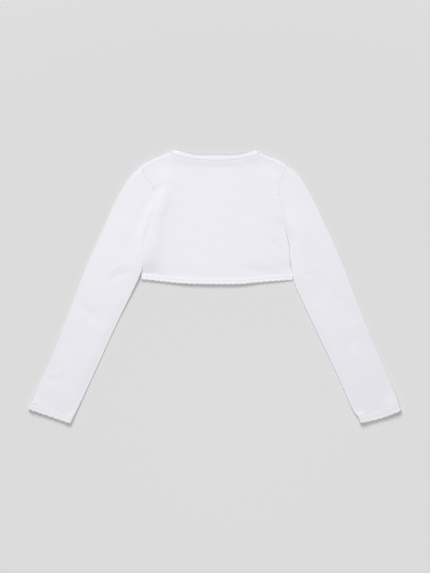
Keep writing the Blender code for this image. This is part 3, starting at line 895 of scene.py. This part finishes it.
@dataclass
class Body:
    """The back and the two fronts: the fronts lie flat and turn over the shoulders on to the back."""

    finishes: Finishes
    side_rows: int = 30
    armhole_rows: int = 50
    armhole_points: int = 200  # where the armhole's length is measured
    side_share: float = 0.38  # share of the rows' height beside the side seams
    shoulder_share: float = 0.205  # share of the back's width under one shoulder
    shoulder_columns: int = 26
    neck_columns: int = 66
    neck_start: float = 0.042  # share of the neckband's seam along the fronts' turn
    spread: float = 1.35  # over 1, the back's columns are closer near its armholes
    front_columns: int = 44
    front_hem_share: float = 0.46  # share of the whole hem that a front's hem takes
    turn_step: float = 0.1  # how far the fronts' turned edge stands over the back
    turn_rows: int = 12
    lap_rows: int = 6
    lap_tuck: int = 6  # the higher it is, the nearer to its seam the turned edge is drawn down
    stitched: tuple[float, float, int] = (0.02, 0.97, 60)  # part of the shoulder's seam, and points
    stitch_sink: float = 0.15  # how deep its stitches sit

    def rows(self) -> Array:
        """Row places of a panel, as shares of its height."""
        lower = np.linspace(0, self.side_share, self.side_rows + 1)
        return np.concatenate([lower, np.linspace(self.side_share, 1, self.armhole_rows + 1)[1:]])

    def side_edge(self, side: Side, start: float) -> Array:
        """The edge of a panel up the side and round the armhole.

        Args:
            side: The wearer's side.
            start: How far down the armhole the panel begins.

        Returns:
            Points from the hem's seam to the shoulder.
        """
        plan = PLANS[side]
        length = run_of(along(plan.armhole, np.linspace(0, 1, self.armhole_points)))[-1]
        lower = along(plan.side[::-1], np.linspace(0, 1, self.side_rows + 1))
        upper = along(plan.armhole[::-1], np.linspace(0, 1 - start / length, self.armhole_rows + 1))
        return np.vstack([lower, upper[1:]])

    def back(self) -> Object:
        """Makes the back, between its hem band, the sleeves, the fronts' turn and the neckband.

        Returns:
            The piece.
        """
        share = self.shoulder_share
        outer = share * (np.arange(self.shoulder_columns + 1) / self.shoulder_columns) ** self.spread
        middle = np.linspace(share, 1 - share, self.neck_columns + 1)
        across = np.concatenate([outer, middle[1:-1], 1 - outer[::-1]])
        turn = LAY.shoulder_turn + LAY.seam
        neck = np.linspace(self.neck_start, 1 - self.neck_start, self.neck_columns + 1)
        left_turn, right_turn = (LAY.shoulder_line(side, outer / share, turn, 1) for side in Side)
        neckline = along(NECK_SEAM, neck) - (0, LAY.seam)
        high = np.vstack([left_turn[:-1], neckline, right_turn[::-1][1:]])
        left, right = (self.side_edge(side, turn) for side in Side)
        low = along(HEM, across) + (0, LAY.hem_depth + LAY.seam)
        low[0], low[-1] = left[0], right[0]
        plan = patch(left, right, low, high, across, self.rows())
        points = np.dstack([plan, LAY.back_height(plan)])
        points[..., 2] += LAY.drawn_in(points, (left[self.side_rows :], right[self.side_rows :], low, high))
        return dress_panel(to_object("back_panel", points, plan), UP, self.finishes.jersey, "back")

    def front_edge(self, side: Side, inset: float) -> Array:
        """The seam of a front and its band, from the hem up to the shoulder.

        Args:
            side: The wearer's side.
            inset: How far in from the shoulder's outline it ends.

        Returns:
            Points in the plan.
        """
        edge = along(PLANS[side].front_edge[::-1], self.rows())
        edge[-1] = LAY.shoulder_line(side, [1.0], inset, 0)[0]
        return edge

    def front(self, side: Side) -> Object:
        """Makes a front: flat on the surface, and turned over the shoulder to meet the back.

        Args:
            side: The wearer's side.

        Returns:
            The piece.
        """
        radius = LAY.shoulder_fold / 2
        across = np.linspace(0, 1, self.front_columns + 1)
        outer, inner = self.side_edge(side, radius), self.front_edge(side, radius)
        high = LAY.shoulder_line(side, across, radius, 0)
        reach = 0.5 + side.value * (0.5 - self.front_hem_share * across)
        low = np.column_stack([np.linspace(outer[0, 0], inner[0, 0], len(across)), along(HEM, reach)[:, 1]])
        low[:, 1] += LAY.hem_depth + LAY.seam
        outer[0], inner[0] = low[0], low[-1]
        rows = [at_height(row, 0.0) for row in patch(outer, inner, low, high, across, self.rows())]
        for share in np.linspace(0, 1, self.turn_rows + 1)[1:]:
            angle = math.pi * (share - 0.5)
            row = LAY.shoulder_line(side, across, radius * (1 - math.cos(angle)), share)
            rows.append(at_height(row, radius * (1 + math.sin(angle))))
        level = LAY.back_height(LAY.shoulder_line(side, across, LAY.shoulder_turn, 1)) + self.turn_step
        for share in np.linspace(0, 1, self.lap_rows + 1)[1:]:
            row = LAY.shoulder_line(side, across, radius + (LAY.shoulder_turn - radius) * share, 1)
            height = LAY.shoulder_fold + (level - LAY.shoulder_fold) * ease(share)
            rows.append(at_height(row, height - LAY.dip * share**self.lap_tuck))
        points = np.array(rows)
        knit = points[..., :2].copy()
        knit[..., 1] = run_of(points[:, self.front_columns // 2])[:, None]
        obj = to_object(f"front_panel_{side.word}", points, knit)
        return dress_panel(obj, (0.0, 0.0, -1.0), self.finishes.jersey, f"front_{side.word}")

    def seam_line(self, side: Side) -> Array:
        """The seam between the back and a front's turned edge.

        Args:
            side: The wearer's side.

        Returns:
            Its points, where the stitches lie.
        """
        line = LAY.shoulder_line(side, np.linspace(*self.stitched), LAY.shoulder_turn + LAY.seam / 2, 1)
        return at_height(line, LAY.back_height(line) - self.stitch_sink)


@dataclass
class Sleeve:
    """One sleeve: a flattened tube, its inner fold on the body's side, with the cuff's seam at its end."""

    side: Side
    finishes: Finishes
    steps: tuple[int, ...] = (14, 16, 15, 15, 20, 30, 34, 22, 9)  # rows from one section to the next
    top_columns: int = 44
    under_columns: int = 22
    turn_columns: int = 9
    spacing: float = 0.5  # how much closer the top's columns are near the folds than in its middle
    fade: float = 0.35  # below 1, the folds keep their height nearer to the edges
    least: float = 0.02  # share of the top, at its edges, within which they fade no further
    wave_seed: int = 11
    waves: tuple[float, float] = (0.16, 52.0)  # half height and length of its undulation
    gathers: tuple[float, float, float] = (0.14, 7.0, 6.0)  # beside its seams, as pucker takes them
    meet_run: float = 20.0  # over this it goes from the back's height at the armhole to its own
    meet_share: float = 0.3  # how softly that comes in from the armhole's two ends
    stitch_sink: float = 0.25  # how deep the stitches under the arm sit
    unsewn: int = 4  # columns of the outer fold that the armhole's stitches leave free
    net: Array = field(init=False)

    @property
    def upper(self) -> int:
        """How many columns lie on the upper side, from the seam under the arm round the outer fold."""
        return 2 * self.turn_columns + self.top_columns + 1

    def outline(self, section: Section) -> tuple[Array, Array]:
        """Outline of the flattened tube, from the seam under the arm over the top and back below.

        Args:
            section: The section's sizes.

        Returns:
            Rows of distance from the outer fold and height, and how much of the folds' relief each takes.
        """
        width, lift = section.width, max(section.lift, 0.0)
        far, close = section.fold / 2, section.inner / 2
        flat = width - far - close
        turn = np.linspace(0, math.pi / 2, self.turn_columns + 1)[:-1]
        share = (1 - np.cos(np.linspace(0, math.pi, self.top_columns + 1))) / 2 * self.spacing
        share += np.linspace(0, 1, self.top_columns + 1) * (1 - self.spacing)
        top = far + flat * share[::-1]
        low = far + flat * np.linspace(0, 1, self.under_columns + 1)
        climb = lift * ease((low - width + LAY.lift_run) / (LAY.lift_run - LAY.lift_flat))
        crown = section.level + (section.fold - section.level) * swell(top - far, LAY.crown_run)
        crown += (lift + section.inner - section.level) * swell(width - close - top, section.run)
        inward = width - close * (1 - np.cos(turn))
        inner = np.column_stack([inward, lift + close * (1 + np.sin(turn))])
        under = np.column_stack([inward, lift + close * (1 - np.sin(turn))])[::-1]
        outer = np.column_stack([far * (1 - np.cos(turn)), far * (1 + np.sin(turn))])[::-1]
        mirror = outer[::-1][1:] * (1, -1) + (0, section.fold)
        top, low = np.column_stack([top, crown]), np.column_stack([low, climb])
        turned = np.sin(math.pi * self.least) ** self.fade * np.sin(turn)
        middle = np.sin(math.pi * np.clip(share[::-1], self.least, 1 - self.least)) ** self.fade
        outline = np.vstack([inner, top, outer, mirror, low, under[:-1]])
        weight = np.concatenate([turned, middle, turned[::-1]])
        return outline, np.append(weight, np.zeros(len(outline) - len(weight)))

    def place(self, section: Section, outline: Array) -> Array:
        """Sets an outline on the plan of its section, bowed as the armhole is.

        Args:
            section: The section's sizes.
            outline: Rows of distance from the outer fold and height.

        Returns:
            The outline's points.
        """
        armhole = np.array(PLANS[self.side].armhole)
        outer, inner = section.folds
        share = outline[:, :1] / section.width
        held = np.clip(share, 0, 1)
        bow = along(armhole, held[:, 0]) - (armhole[0] + held * (armhole[-1] - armhole[0]))
        return at_height(outer + share * (inner - outer) + section.bow * bow, outline[:, 1])

    def build(self) -> Object:
        """Makes the sleeve.

        Returns:
            The piece.
        """
        places = [0.0]
        for row, steps in enumerate(self.steps):
            places += [row + (k + 1) / steps for k in range(steps)]
        rings, weights = [], []
        for values in smooth(PLANS[self.side].sleeve, places):
            section = Section(*values)
            outline, weight = self.outline(section)
            rings.append(self.place(section, outline))
            weights.append(weight)
        net = np.array(rings)
        net[0, :, 0] += self.side.value * LAY.seam * 2  # room at the armhole
        folds = relief(Cloth.SLEEVE, net) + undulation(net, self.wave_seed + self.side.value, *self.waves)
        middle = self.turn_columns + self.top_columns // 2
        length = run_of(net[:, middle])[:, None]
        from_seam = np.minimum(length, length[-1] - length)
        around = np.cumsum(np.linalg.norm(np.diff(net, axis=1, prepend=net[:, :1]), axis=-1), axis=1)
        sewn = pucker(from_seam, around, *self.gathers) - LAY.dip * swell(from_seam, LAY.dip_run)
        net[..., 2] += np.array(weights) * (folds + sewn)
        top = slice(self.turn_columns, self.turn_columns + self.top_columns + 1)
        step = LAY.back_height(net[0, top]) - LAY.dip - net[0, top, 2]
        step *= ease(np.sin(math.pi * np.linspace(0, 1, self.top_columns + 1)) / self.meet_share)
        net[:, top, 2] += step * swell(length, self.meet_run)
        self.net = net
        closing = np.linalg.norm(net[:, :1] - net[:, -1:], axis=-1)
        across = np.hstack([around, around[:, -1:] + closing]) - around[:, [middle]]
        knit = np.dstack(np.broadcast_arrays(across, length))
        obj = to_object(f"sleeve_tube_{self.side.word}", net, knit, tube=True)
        return dress_panel(obj, (0.0, -1.0, 0.0), self.finishes.jersey, f"sleeve_{self.side.word}")

    def out_of(self, rings: Array) -> Array:
        """The way out of the cloth at each point of the tube."""
        return normals_of(rings) * -self.side.value

    def armhole_line(self) -> tuple[Array, Array]:
        """The armhole's seam on the upper side, from the underarm to the top.

        Returns:
            Its points, and the way out of the cloth at each.
        """
        columns = slice(1, self.upper - self.unsewn)
        line = self.net[0, columns] - (self.side.value * LAY.seam, 0, 0)
        return line, self.out_of(self.net[:3])[0, columns]

    def underarm_line(self) -> tuple[Array, Array]:
        """The seam under the arm, along the inner fold from the third section on.

        Returns:
            Its points, and the way out of the cloth at each.
        """
        first = sum(self.steps[:2])
        up = self.out_of(self.net)[first:, 0]
        return self.net[first:, 0] - self.stitch_sink * up, up

    def cuff_line(self) -> tuple[Array, Array]:
        """The cuff's seam on the upper side.

        Returns:
            Its points, and the way out of the cloth at each.
        """
        line = self.net[-1] + unit(self.net[-1] - self.net[-2]) * LAY.seam / 2
        return line[: self.upper], self.out_of(self.net[-3:])[-1, : self.upper]


@dataclass(frozen=True)
class Shells:
    """The scallops along a hem or cuff: a fan of ribs in each, a raised lip and small openings between."""

    cut: float = 1.1  # from a scallop's tip to the notch
    roundness: float = 0.7
    steps: int = 16  # rows to a scallop
    ribs: int = 5
    rib_height: float = 0.1
    fan_start: float = 0.5  # share of the band's depth where the ribs begin
    fan_run: float = 0.25  # and over which they reach their height
    eyelet_depth: float = 0.5
    eyelet_radius: float = 0.75
    eyelet_place: float = 0.6  # share of the band's depth
    profile: Rows = (  # share of the band's depth, and height over its plain wall
        (0, 0.02), (0.16, 0.09), (0.34, 0.18), (0.5, 0.2), (0.68, 0.15), (0.8, 0.21), (0.9, 0.29),
        (1, -0.1),
    )
    profile_points: int = 120

    def notch(self, share: Array) -> Array:
        """Depth from the tips' line to the edge, at places counted in scallops."""
        return self.cut * (1 - np.abs(np.sin(math.pi * share)) ** self.roundness)

    def rise(self, share: Array, depth: Array, pitch: float, band: float) -> Array:
        """Height of the band's face over its plain wall.

        Args:
            share: Places along the band, counted in scallops.
            depth: Places down it, as shares of its depth.
            pitch: Length of a scallop.
            band: The band's depth.

        Returns:
            Rows along the band by columns down it.
        """
        place, down = share[:, None], depth[None]
        plain = read_profile(self.profile, depth, self.profile_points)
        ribs = self.rib_height * np.cos(math.tau * self.ribs * place)
        fan = ribs * ease((down - self.fan_start) / self.fan_run)
        off = (np.mod(2 * place + 0.5, 1.0) - 0.5) * pitch / 2  # two openings to a scallop
        eyelet = swell(np.hypot(off, (down - self.eyelet_place) * band), self.eyelet_radius)
        return plain + fan - self.eyelet_depth * eyelet


@dataclass
class Band:
    """A band along an edge: a raised face between its seam and its edge, a round lip and a plain back."""

    name: str
    seam: Array  # points on the plain face at the seam
    edge: Array  # points on the plain face at the edge
    up: Array | tuple[float, float, float]  # the way out of the face, at each point or everywhere
    depth: Array  # places of the columns, as shares from seam to edge
    rise: Array  # height of the face over its plain wall
    wall: float
    ring: bool = False
    lip: int = 4  # columns round the edge
    bulge: float = 0.35  # how far the lip stands out past the edge
    back_places: tuple[float, ...] = (1.0, 0.66, 0.33, 0.0)  # of the back's columns

    def build(self) -> Object:
        """Makes the band's closed body.

        Returns:
            The piece, still undressed.
        """
        seam, edge = self.seam[:, None], self.edge[:, None]
        up = np.broadcast_to(self.up, self.seam.shape)[:, None]
        reach = edge - seam
        face = seam + reach * self.depth[None, :, None] + up * self.rise[..., None]
        turn = np.linspace(0, math.pi, self.lip + 2)[1:-1]
        top = self.rise[:, -1:]
        height = (top - self.wall) / 2 + (top + self.wall) / 2 * np.cos(turn)[None]
        lip = edge + np.sin(turn)[None, :, None] * unit(reach) * self.bulge + up * height[..., None]
        back = seam + reach * np.array(self.back_places)[None, :, None] - up * self.wall
        points = np.concatenate([face, lip, back], axis=1)
        around = run_of(points[0])
        around = np.append(around, around[-1] + self.wall)
        length = run_of(self.seam)
        if self.ring:
            length = np.append(length, length[-1] + np.linalg.norm(self.seam[0] - self.seam[-1]))
        knit = np.dstack(np.broadcast_arrays(length[:, None], around))
        obj = to_object(self.name, points, knit, tube=True, ring=self.ring)
        turn_outwards(obj)
        bake(obj)
        return obj


@dataclass
class Edgings:
    """The bands: back neckband, front bands, hem bands and cuffs."""

    finishes: Finishes
    shells: Shells = Shells()
    hem_scallops: int = 27
    front_scallops: int = 13
    cuff_scallops: int = 16
    cuff_steps: int = 14
    face_columns: int = 18
    spacing: float = 0.4  # how much closer the face's columns are near its seam and its edge
    neck_rows: int = 260
    neck_profile: Rows = ((0, -0.3), (0.12, 0.06), (0.35, 0.17), (0.6, 0.17), (0.85, 0.16), (1, 0.12))
    neck_points: int = 80  # of the profile's curve
    neck_wall: float = 1.5
    neck_rib_mm: float = 2.6
    neck_rib_height: float = 0.1
    neck_stitched: tuple[float, float, int] = (0.035, 0.965, 120)  # part of its seam, and points
    neck_sink: float = 0.1  # how deep its stitches sit
    hem_stitched: tuple[float, float, int] = (0.004, 0.996, 160)
    hem_sink: float = 0.25
    hidden_rise: float = 0.15  # of the fronts' bands, which lie face down
    band_end: float = 0.6  # how far in from the shoulder's outline a front band ends
    front_gap: float = 0.005  # share of the hem between its middle and a front's hem
    front_inset: float = 1.0  # how much shorter than the back's the fronts' hems are
    cuff_raised: tuple[float, float] = (0.3, 0.8)  # shares of the height between which its relief grows
    cuff_bow: tuple[float, float] = (0.4, 2.6)  # how far the left and the right cuff's middle hangs

    def depth(self) -> Array:
        """Places of a band's columns, closer near its seam and its edge."""
        even = np.linspace(0, 1, self.face_columns)
        return (1 - self.spacing) * even + self.spacing * ease(even)

    def dress(self, band: Band, node: str) -> Object:
        """Builds a band and dresses it in place of its solid."""
        return dress(band.build(), self.finishes.edging, Slot.EDGING, node)

    def neckband(self) -> Object:
        """Makes the back neckband, between the shoulders' folds.

        Returns:
            The piece.
        """
        shares, depth = np.linspace(0, 1, self.neck_rows), self.depth()
        seam = along(NECK_SEAM, shares)
        level = LAY.back_height(seam) - LAY.wall + self.neck_wall
        seam, edge = at_height(seam, level), at_height(along(NECK, shares), level)
        ribs = np.cos(math.tau * run_of(edge) / self.neck_rib_mm)[:, None] * np.sin(math.pi * depth)
        rise = read_profile(self.neck_profile, depth, self.neck_points) + self.neck_rib_height * ribs
        return self.dress(Band("neckband", seam, edge, UP, depth, rise, self.neck_wall), "neckband_back")

    def neck_line(self) -> Array:
        """The seam between the neckband and the back, where its stitches lie."""
        return at_height(along(NECK_SEAM, np.linspace(*self.neck_stitched)), LAY.level - self.neck_sink)

    def hem(self, word: str, ends: Sequence[float], scallops: int, on_back: bool) -> Object:
        """Makes a hem band with scallops.

        Args:
            word: What it hems, as in its name and its solid's.
            ends: Shares of the hem between which it runs.
            scallops: How many it has.
            on_back: Whether it hangs from the back; a front's lies on the surface under it, and is plain.

        Returns:
            The piece.
        """
        share = np.arange(scallops * self.shells.steps + 1) / self.shells.steps
        line = along(HEM, np.interp(share, (0, scallops), ends))
        depth = self.depth()
        rise = self.shells.rise(share, depth, run_of(line)[-1] / scallops, LAY.hem_depth)
        seam, edge = line + (0, LAY.hem_depth), line.copy()
        edge[:, 1] += self.shells.notch(share)
        if on_back:
            height = LAY.back_height(seam)
        else:
            edge[:, 1] += self.front_inset
            height, rise = LAY.wall, rise * self.hidden_rise
        seam, edge = at_height(seam, height), at_height(edge, height)
        return self.dress(Band(f"hem_band_{word}", seam, edge, UP, depth, rise, LAY.wall), f"hem_{word}")

    def hem_line(self) -> Array:
        """The seam between the back and its hem band, where its stitches lie."""
        line = along(HEM, np.linspace(*self.hem_stitched)) + (0, LAY.hem_depth + LAY.seam / 2)
        return at_height(line, LAY.back_height(line) - self.hem_sink)

    def front_band(self, body: Body, side: Side) -> Object:
        """Makes a front band, flat on the surface: round the neck and down the front edge.

        Args:
            body: The body, whose front edge it follows.
            side: The wearer's side.

        Returns:
            The piece.
        """
        seam = body.front_edge(side, self.band_end)
        slope = unit(np.gradient(seam, axis=0))
        out = side.value * np.column_stack([-slope[:, 1], slope[:, 0]])
        depth = self.depth()
        rise = np.tile(self.hidden_rise * np.sin(math.pi * depth), (len(seam), 1))
        ends = (at_height(seam + reach * out, LAY.wall) for reach in (LAY.seam, LAY.band_depth))
        band = Band(f"front_band_{side.word}", *ends, UP, depth, rise, LAY.wall)
        return self.dress(band, f"band_front_{side.word}")

    def cuff(self, sleeve: Sleeve) -> Object:
        """Makes a cuff: a flattened scalloped ring, raised on its upper side and plain where it rests.

        Args:
            sleeve: The sleeve that it ends.

        Returns:
            The piece.
        """
        start, end = (Section(*row) for row in PLANS[sleeve.side].sleeve[-2:])
        across, down = end.folds[1] - end.folds[0], end.folds - start.folds
        band = math.hypot(*down[0])
        outline, _ = sleeve.outline(end)
        closed = np.vstack([outline, outline[:1]])
        run = run_of(closed)
        count = self.cuff_scallops * self.cuff_steps
        places = np.arange(count) / count * run[-1]
        ring = np.column_stack([np.interp(places, run, column) for column in closed.T])
        at = ring[:, :1] / end.width
        bow = self.cuff_bow[sleeve.side is Side.RIGHT]

        def place(reach: Array) -> Array:
            """The ring's points at shares of the band's depth.

            Args:
                reach: A share for each point.

            Returns:
                The points.
            """
            outer, inner = (start.folds[k] + reach[:, None] * down[k] for k in range(2))
            hang = unit(down[0]) * bow * reach[:, None] * np.sin(math.pi * np.clip(at, 0, 1))
            return at_height(outer + at * (inner - outer) + hang, ring[:, 1])

        tangent = unit(np.roll(ring, -1, axis=0) - np.roll(ring, 1, axis=0))
        up = tangent[:, 1:] * unit(np.array([*across, 0.0])) - np.outer(tangent[:, 0], UP)
        low, high = self.cuff_raised
        raised = ease((ring[:, 1] / end.fold - low) / (high - low))
        share, depth = np.arange(count) / self.cuff_steps, self.depth()
        rise = self.shells.rise(share, depth, run[-1] / self.cuff_scallops, band) * raised[:, None]
        seam = place(np.full(count, LAY.seam / band))
        edge = place(1 - self.shells.notch(share + 0.5) / band)  # a tip, not a notch, on the fold
        made = Band(f"cuff_band_{sleeve.side.word}", seam, edge, up, depth, rise, LAY.wall, ring=True)
        return self.dress(made, f"cuff_{sleeve.side.word}")


@dataclass
class Sewing:
    """Linking stitches along the seams, set by Geometry Nodes: a pair of slanted loops at each step."""

    material: Material
    slant: float = 24.0  # degrees from the seam
    apart: float = 0.42  # share of a stitch's width from the seam to each of its loops
    seed: int = 5
    tree: NodeTree = field(init=False)

    def __post_init__(self) -> None:
        """Builds the tree once for all seams."""
        tree = bpy.data.node_groups.new("linking_stitches", "GeometryNodeTree")
        numbers = dict.fromkeys(("Spacing", "Length", "Width", "Height", "Slant"), "Float")
        for name, kind in ({"Geometry": "Geometry"} | numbers | {"Seed": "Int"}).items():
            tree.interface.new_socket(name, in_out="INPUT", socket_type=f"NodeSocket{kind}")
        tree.interface.new_socket("Geometry", in_out="OUTPUT", socket_type="NodeSocketGeometry")
        given = add(tree, "NodeGroupInput").outputs
        curve = add(tree, "GeometryNodeMeshToCurve", {0: given["Geometry"]})
        spaced = {"Curve": curve, "Length": given["Spacing"]}
        steps = add(tree, "GeometryNodeResampleCurve", spaced, mode="LENGTH")
        ball = add(tree, "GeometryNodeMeshUVSphere", {"Segments": 6, "Rings": 4, "Radius": 0.5})
        loop = add(tree, "GeometryNodeSetShadeSmooth", {0: ball})
        sizes = {0: given["Length"], 1: given["Width"], 2: given["Height"]}
        size = add(tree, "ShaderNodeCombineXYZ", sizes)
        pair = add(tree, "GeometryNodeJoinGeometry")
        for sign in (-1, 1):
            shift, turn = (
                add(tree, "ShaderNodeMath", {0: given[name], 1: share * sign}, operation="MULTIPLY")
                for name, share in (("Width", self.apart), ("Slant", 1.0))
            )
            leg = {
                "Geometry": loop,
                "Translation": add(tree, "ShaderNodeCombineXYZ", {1: shift}),
                "Rotation": add(tree, "ShaderNodeCombineXYZ", {2: turn}),
                "Scale": size,
            }
            wire(tree, pair, {0: add(tree, "GeometryNodeTransform", leg)})
        up = add(tree, "GeometryNodeInputNamedAttribute", {"Name": "up"}, data_type="FLOAT_VECTOR")
        upright = add(tree, "FunctionNodeAlignRotationToVector", {"Vector": up}, axis="Z")
        aim = {"Rotation": upright, "Vector": add(tree, "GeometryNodeInputTangent")}
        uneven = {0: (0.92, 0.85, 0.85), 1: (1.06, 1.12, 1.1), "Seed": given["Seed"]}
        row = {
            "Points": steps,
            "Instance": pair,
            "Rotation": add(tree, "FunctionNodeAlignRotationToVector", aim, axis="X", pivot_axis="Z"),
            "Scale": add(tree, "FunctionNodeRandomValue", uneven, data_type="FLOAT_VECTOR"),
        }
        sewn = add(tree, "GeometryNodeInstanceOnPoints", row)
        real = add(tree, "GeometryNodeRealizeInstances", {0: sewn})
        painted = add(tree, "GeometryNodeSetMaterial", {0: real, "Material": self.material})
        add(tree, "NodeGroupOutput", {0: painted})
        self.tree = tree

    def sew(self, name: str, line: Array, up: Array | tuple = UP, **sizes: float) -> Object:
        """Sews along a line.

        Args:
            name: The piece's name.
            line: Points in millimetres.
            up: The way out of the cloth, at each point or everywhere.
            sizes: The stitches' sizes that differ from a usual row's, in millimetres.

        Returns:
            The stitches as one plain mesh.
        """
        sizes = {"Spacing": 2.7, "Length": 2.5, "Width": 0.85, "Height": 0.7} | sizes
        values = {key: size * MM for key, size in sizes.items()}
        values |= {"Slant": math.radians(self.slant), "Seed": self.seed}
        mesh = bpy.data.meshes.new(name + "_line")
        placed = line + PLAN_SHIFT
        placed[:, 2] = np.maximum(placed[:, 2], sizes["Height"] / 2)
        mesh.from_pydata((placed * MM).tolist(), [(k, k + 1) for k in range(len(line) - 1)], [])
        ways = np.broadcast_to(up, line.shape).ravel()
        mesh.attributes.new("up", "FLOAT_VECTOR", "POINT").data.foreach_set("vector", ways)
        guide = linked(name + "_line", mesh)
        modifier = guide.modifiers.new("stitches", "NODES")
        modifier.node_group = self.tree
        for item in self.tree.interface.items_tree:
            if item.in_out == "INPUT" and item.name in values:
                modifier[item.identifier] = values[item.name]
        made = bpy.data.meshes.new_from_object(guide.evaluated_get(bpy.context.evaluated_depsgraph_get()))
        bpy.data.objects.remove(guide)
        made.name = name
        return dress(linked(name, made), self.material, Slot.EDGING)


@dataclass(frozen=True)
class Lamp:
    """A square soft box that looks at the garment's middle, in metres."""

    name: str
    place: tuple[float, float, float]
    size: float
    power: float  # watts


@dataclass
class Studio:
    """The plain pale floor, the soft light and the camera straight above, in metres."""

    floor_colour: str = "#dddddd"
    floor_reach: float = 4.0
    floor_drop: float = 0.0003
    floor_painted_light_slope: tuple[float, float] = (0.063, -0.194)  # painted light: how much brighter the paper is coloured in a metre, against the soft boxes' falloff
    floor_painted_light_bowl: float = 0.473  # and in a metre squared from the middle, so that it looks even under that falloff
    frame_height: float = 0.9168  # what the camera takes in on the surface, from top to bottom
    centre: tuple[float, float] = (0.00013, -0.00022)
    lens: float = 85.0
    sensor: float = 36.0
    lamps: tuple[Lamp, ...] = (
        Lamp("soft_box_above_neck", (-0.68, 3.4, 2.72), 1.9, 135.9),
        Lamp("soft_box_overhead", (-0.02, -0.065, 1.055), 0.5, 4.13),
    )
    sky: float = 0.23

    def floor(self) -> None:
        """Lays the floor, a sheet of matt backdrop paper, its colour graded against the soft boxes'
        falloff: painted light.
        """
        mesh = bpy.data.meshes.new("floor")
        corners = [(-1, -1), (1, -1), (1, 1), (-1, 1)]
        reach = self.floor_reach
        mesh.from_pydata([(reach * x, reach * y, -self.floor_drop) for x, y in corners], [], [(0, 1, 2, 3)])
        material = bpy.data.materials.new("matt_backdrop_paper")
        material.use_nodes = True
        tree = material.node_tree
        place = add(tree, "ShaderNodeTexCoord").outputs["Object"]
        slope, away = (
            add(tree, "ShaderNodeVectorMath", {0: place, 1: other}, operation="DOT_PRODUCT").outputs[1]
            for other in ((*self.floor_painted_light_slope, 0.0), place)
        )
        # Painted light: the paper's colour is scaled up where the soft boxes light it less, so that the
        # floor looks even.
        even = {0: away, 1: self.floor_painted_light_bowl, 2: slope}
        bowl = add(tree, "ShaderNodeMath", even, operation="MULTIPLY_ADD")
        level = add(tree, "ShaderNodeMath", {0: bowl, 1: 1.0}, operation="ADD")
        graded = {0: linear(self.floor_colour)[:3], "Scale": level}
        paper = add(tree, "ShaderNodeVectorMath", graded, operation="SCALE")
        surface = {"Base Color": paper, "Roughness": 0.95, "Specular IOR Level": 0.1}
        wire(tree, tree.nodes["Principled BSDF"], surface)
        mesh.materials.append(material)
        linked("floor", mesh)

    def light(self) -> None:
        """Sets the soft boxes, and an even glow all round."""
        for lamp in self.lamps:
            light = bpy.data.lights.new(lamp.name, "AREA")
            light.shape, light.size, light.energy = "SQUARE", lamp.size, lamp.power
            obj = linked(lamp.name, light)
            obj.location = lamp.place
            obj.rotation_mode = "QUATERNION"
            obj.rotation_quaternion = Vector(lamp.place).to_track_quat("Z", "Y")
            obj.visible_camera = False
        world = bpy.data.worlds.new("studio")
        world.use_nodes = True
        wire(world.node_tree, world.node_tree.nodes["Background"], {0: (1.0, 1.0, 1.0, 1.0), 1: self.sky})
        bpy.context.scene.world = world

    def camera(self) -> None:
        """Hangs the camera straight above."""
        camera = bpy.data.cameras.new("camera")
        camera.lens, camera.sensor_width = self.lens, self.sensor
        camera.clip_start, camera.clip_end = 0.05, 50.0
        obj = linked("camera", camera)
        obj.location = (*self.centre, self.frame_height * self.lens / self.sensor)
        bpy.context.scene.camera = obj

    def build(self) -> None:
        """Sets up the studio."""
        self.floor()
        self.light()
        self.camera()
        bpy.context.scene.view_settings.view_transform = "Standard"
        LOG.info("studio: floor, soft boxes, glow and camera")


def main() -> None:
    """Builds the garment and its studio."""
    logging.basicConfig(level=logging.INFO, format="%(message)s")
    Studio().build()
    finishes = Finishes.build()
    body = Body(finishes)
    edgings = Edgings(finishes)
    sewing = Sewing(finishes.yarn)

    back = body.back()
    neckband = edgings.neckband()
    hem = edgings.hem("back", (0.0, 1.0), edgings.hem_scallops, on_back=True)
    neck_sewing = sewing.sew("neck_stitches", edgings.neck_line())
    hem_sewing = sewing.sew("hem_stitches", edgings.hem_line())
    for side in Side:
        front = body.front(side)
        band = edgings.front_band(body, side)
        ends = sorted(0.5 + side.value * share for share in (edgings.front_gap, 0.5))
        front_hem = edgings.hem(f"front_{side.word}", ends, edgings.front_scallops, on_back=False)
        seam = sewing.sew(f"shoulder_stitches_{side.word}", body.seam_line(side))
        sleeve = Sleeve(side, finishes)
        tube = sleeve.build()
        cuff = edgings.cuff(sleeve)
        seams = [
            sewing.sew(f"armhole_stitches_{side.word}", *sleeve.armhole_line(), Spacing=2.2, Height=0.5),
            sewing.sew(f"underarm_stitches_{side.word}", *sleeve.underarm_line(), Height=0.4, Width=0.7),
            sewing.sew(f"cuff_stitches_{side.word}", *sleeve.cuff_line()),
        ]


if __name__ == "__main__":
    main()
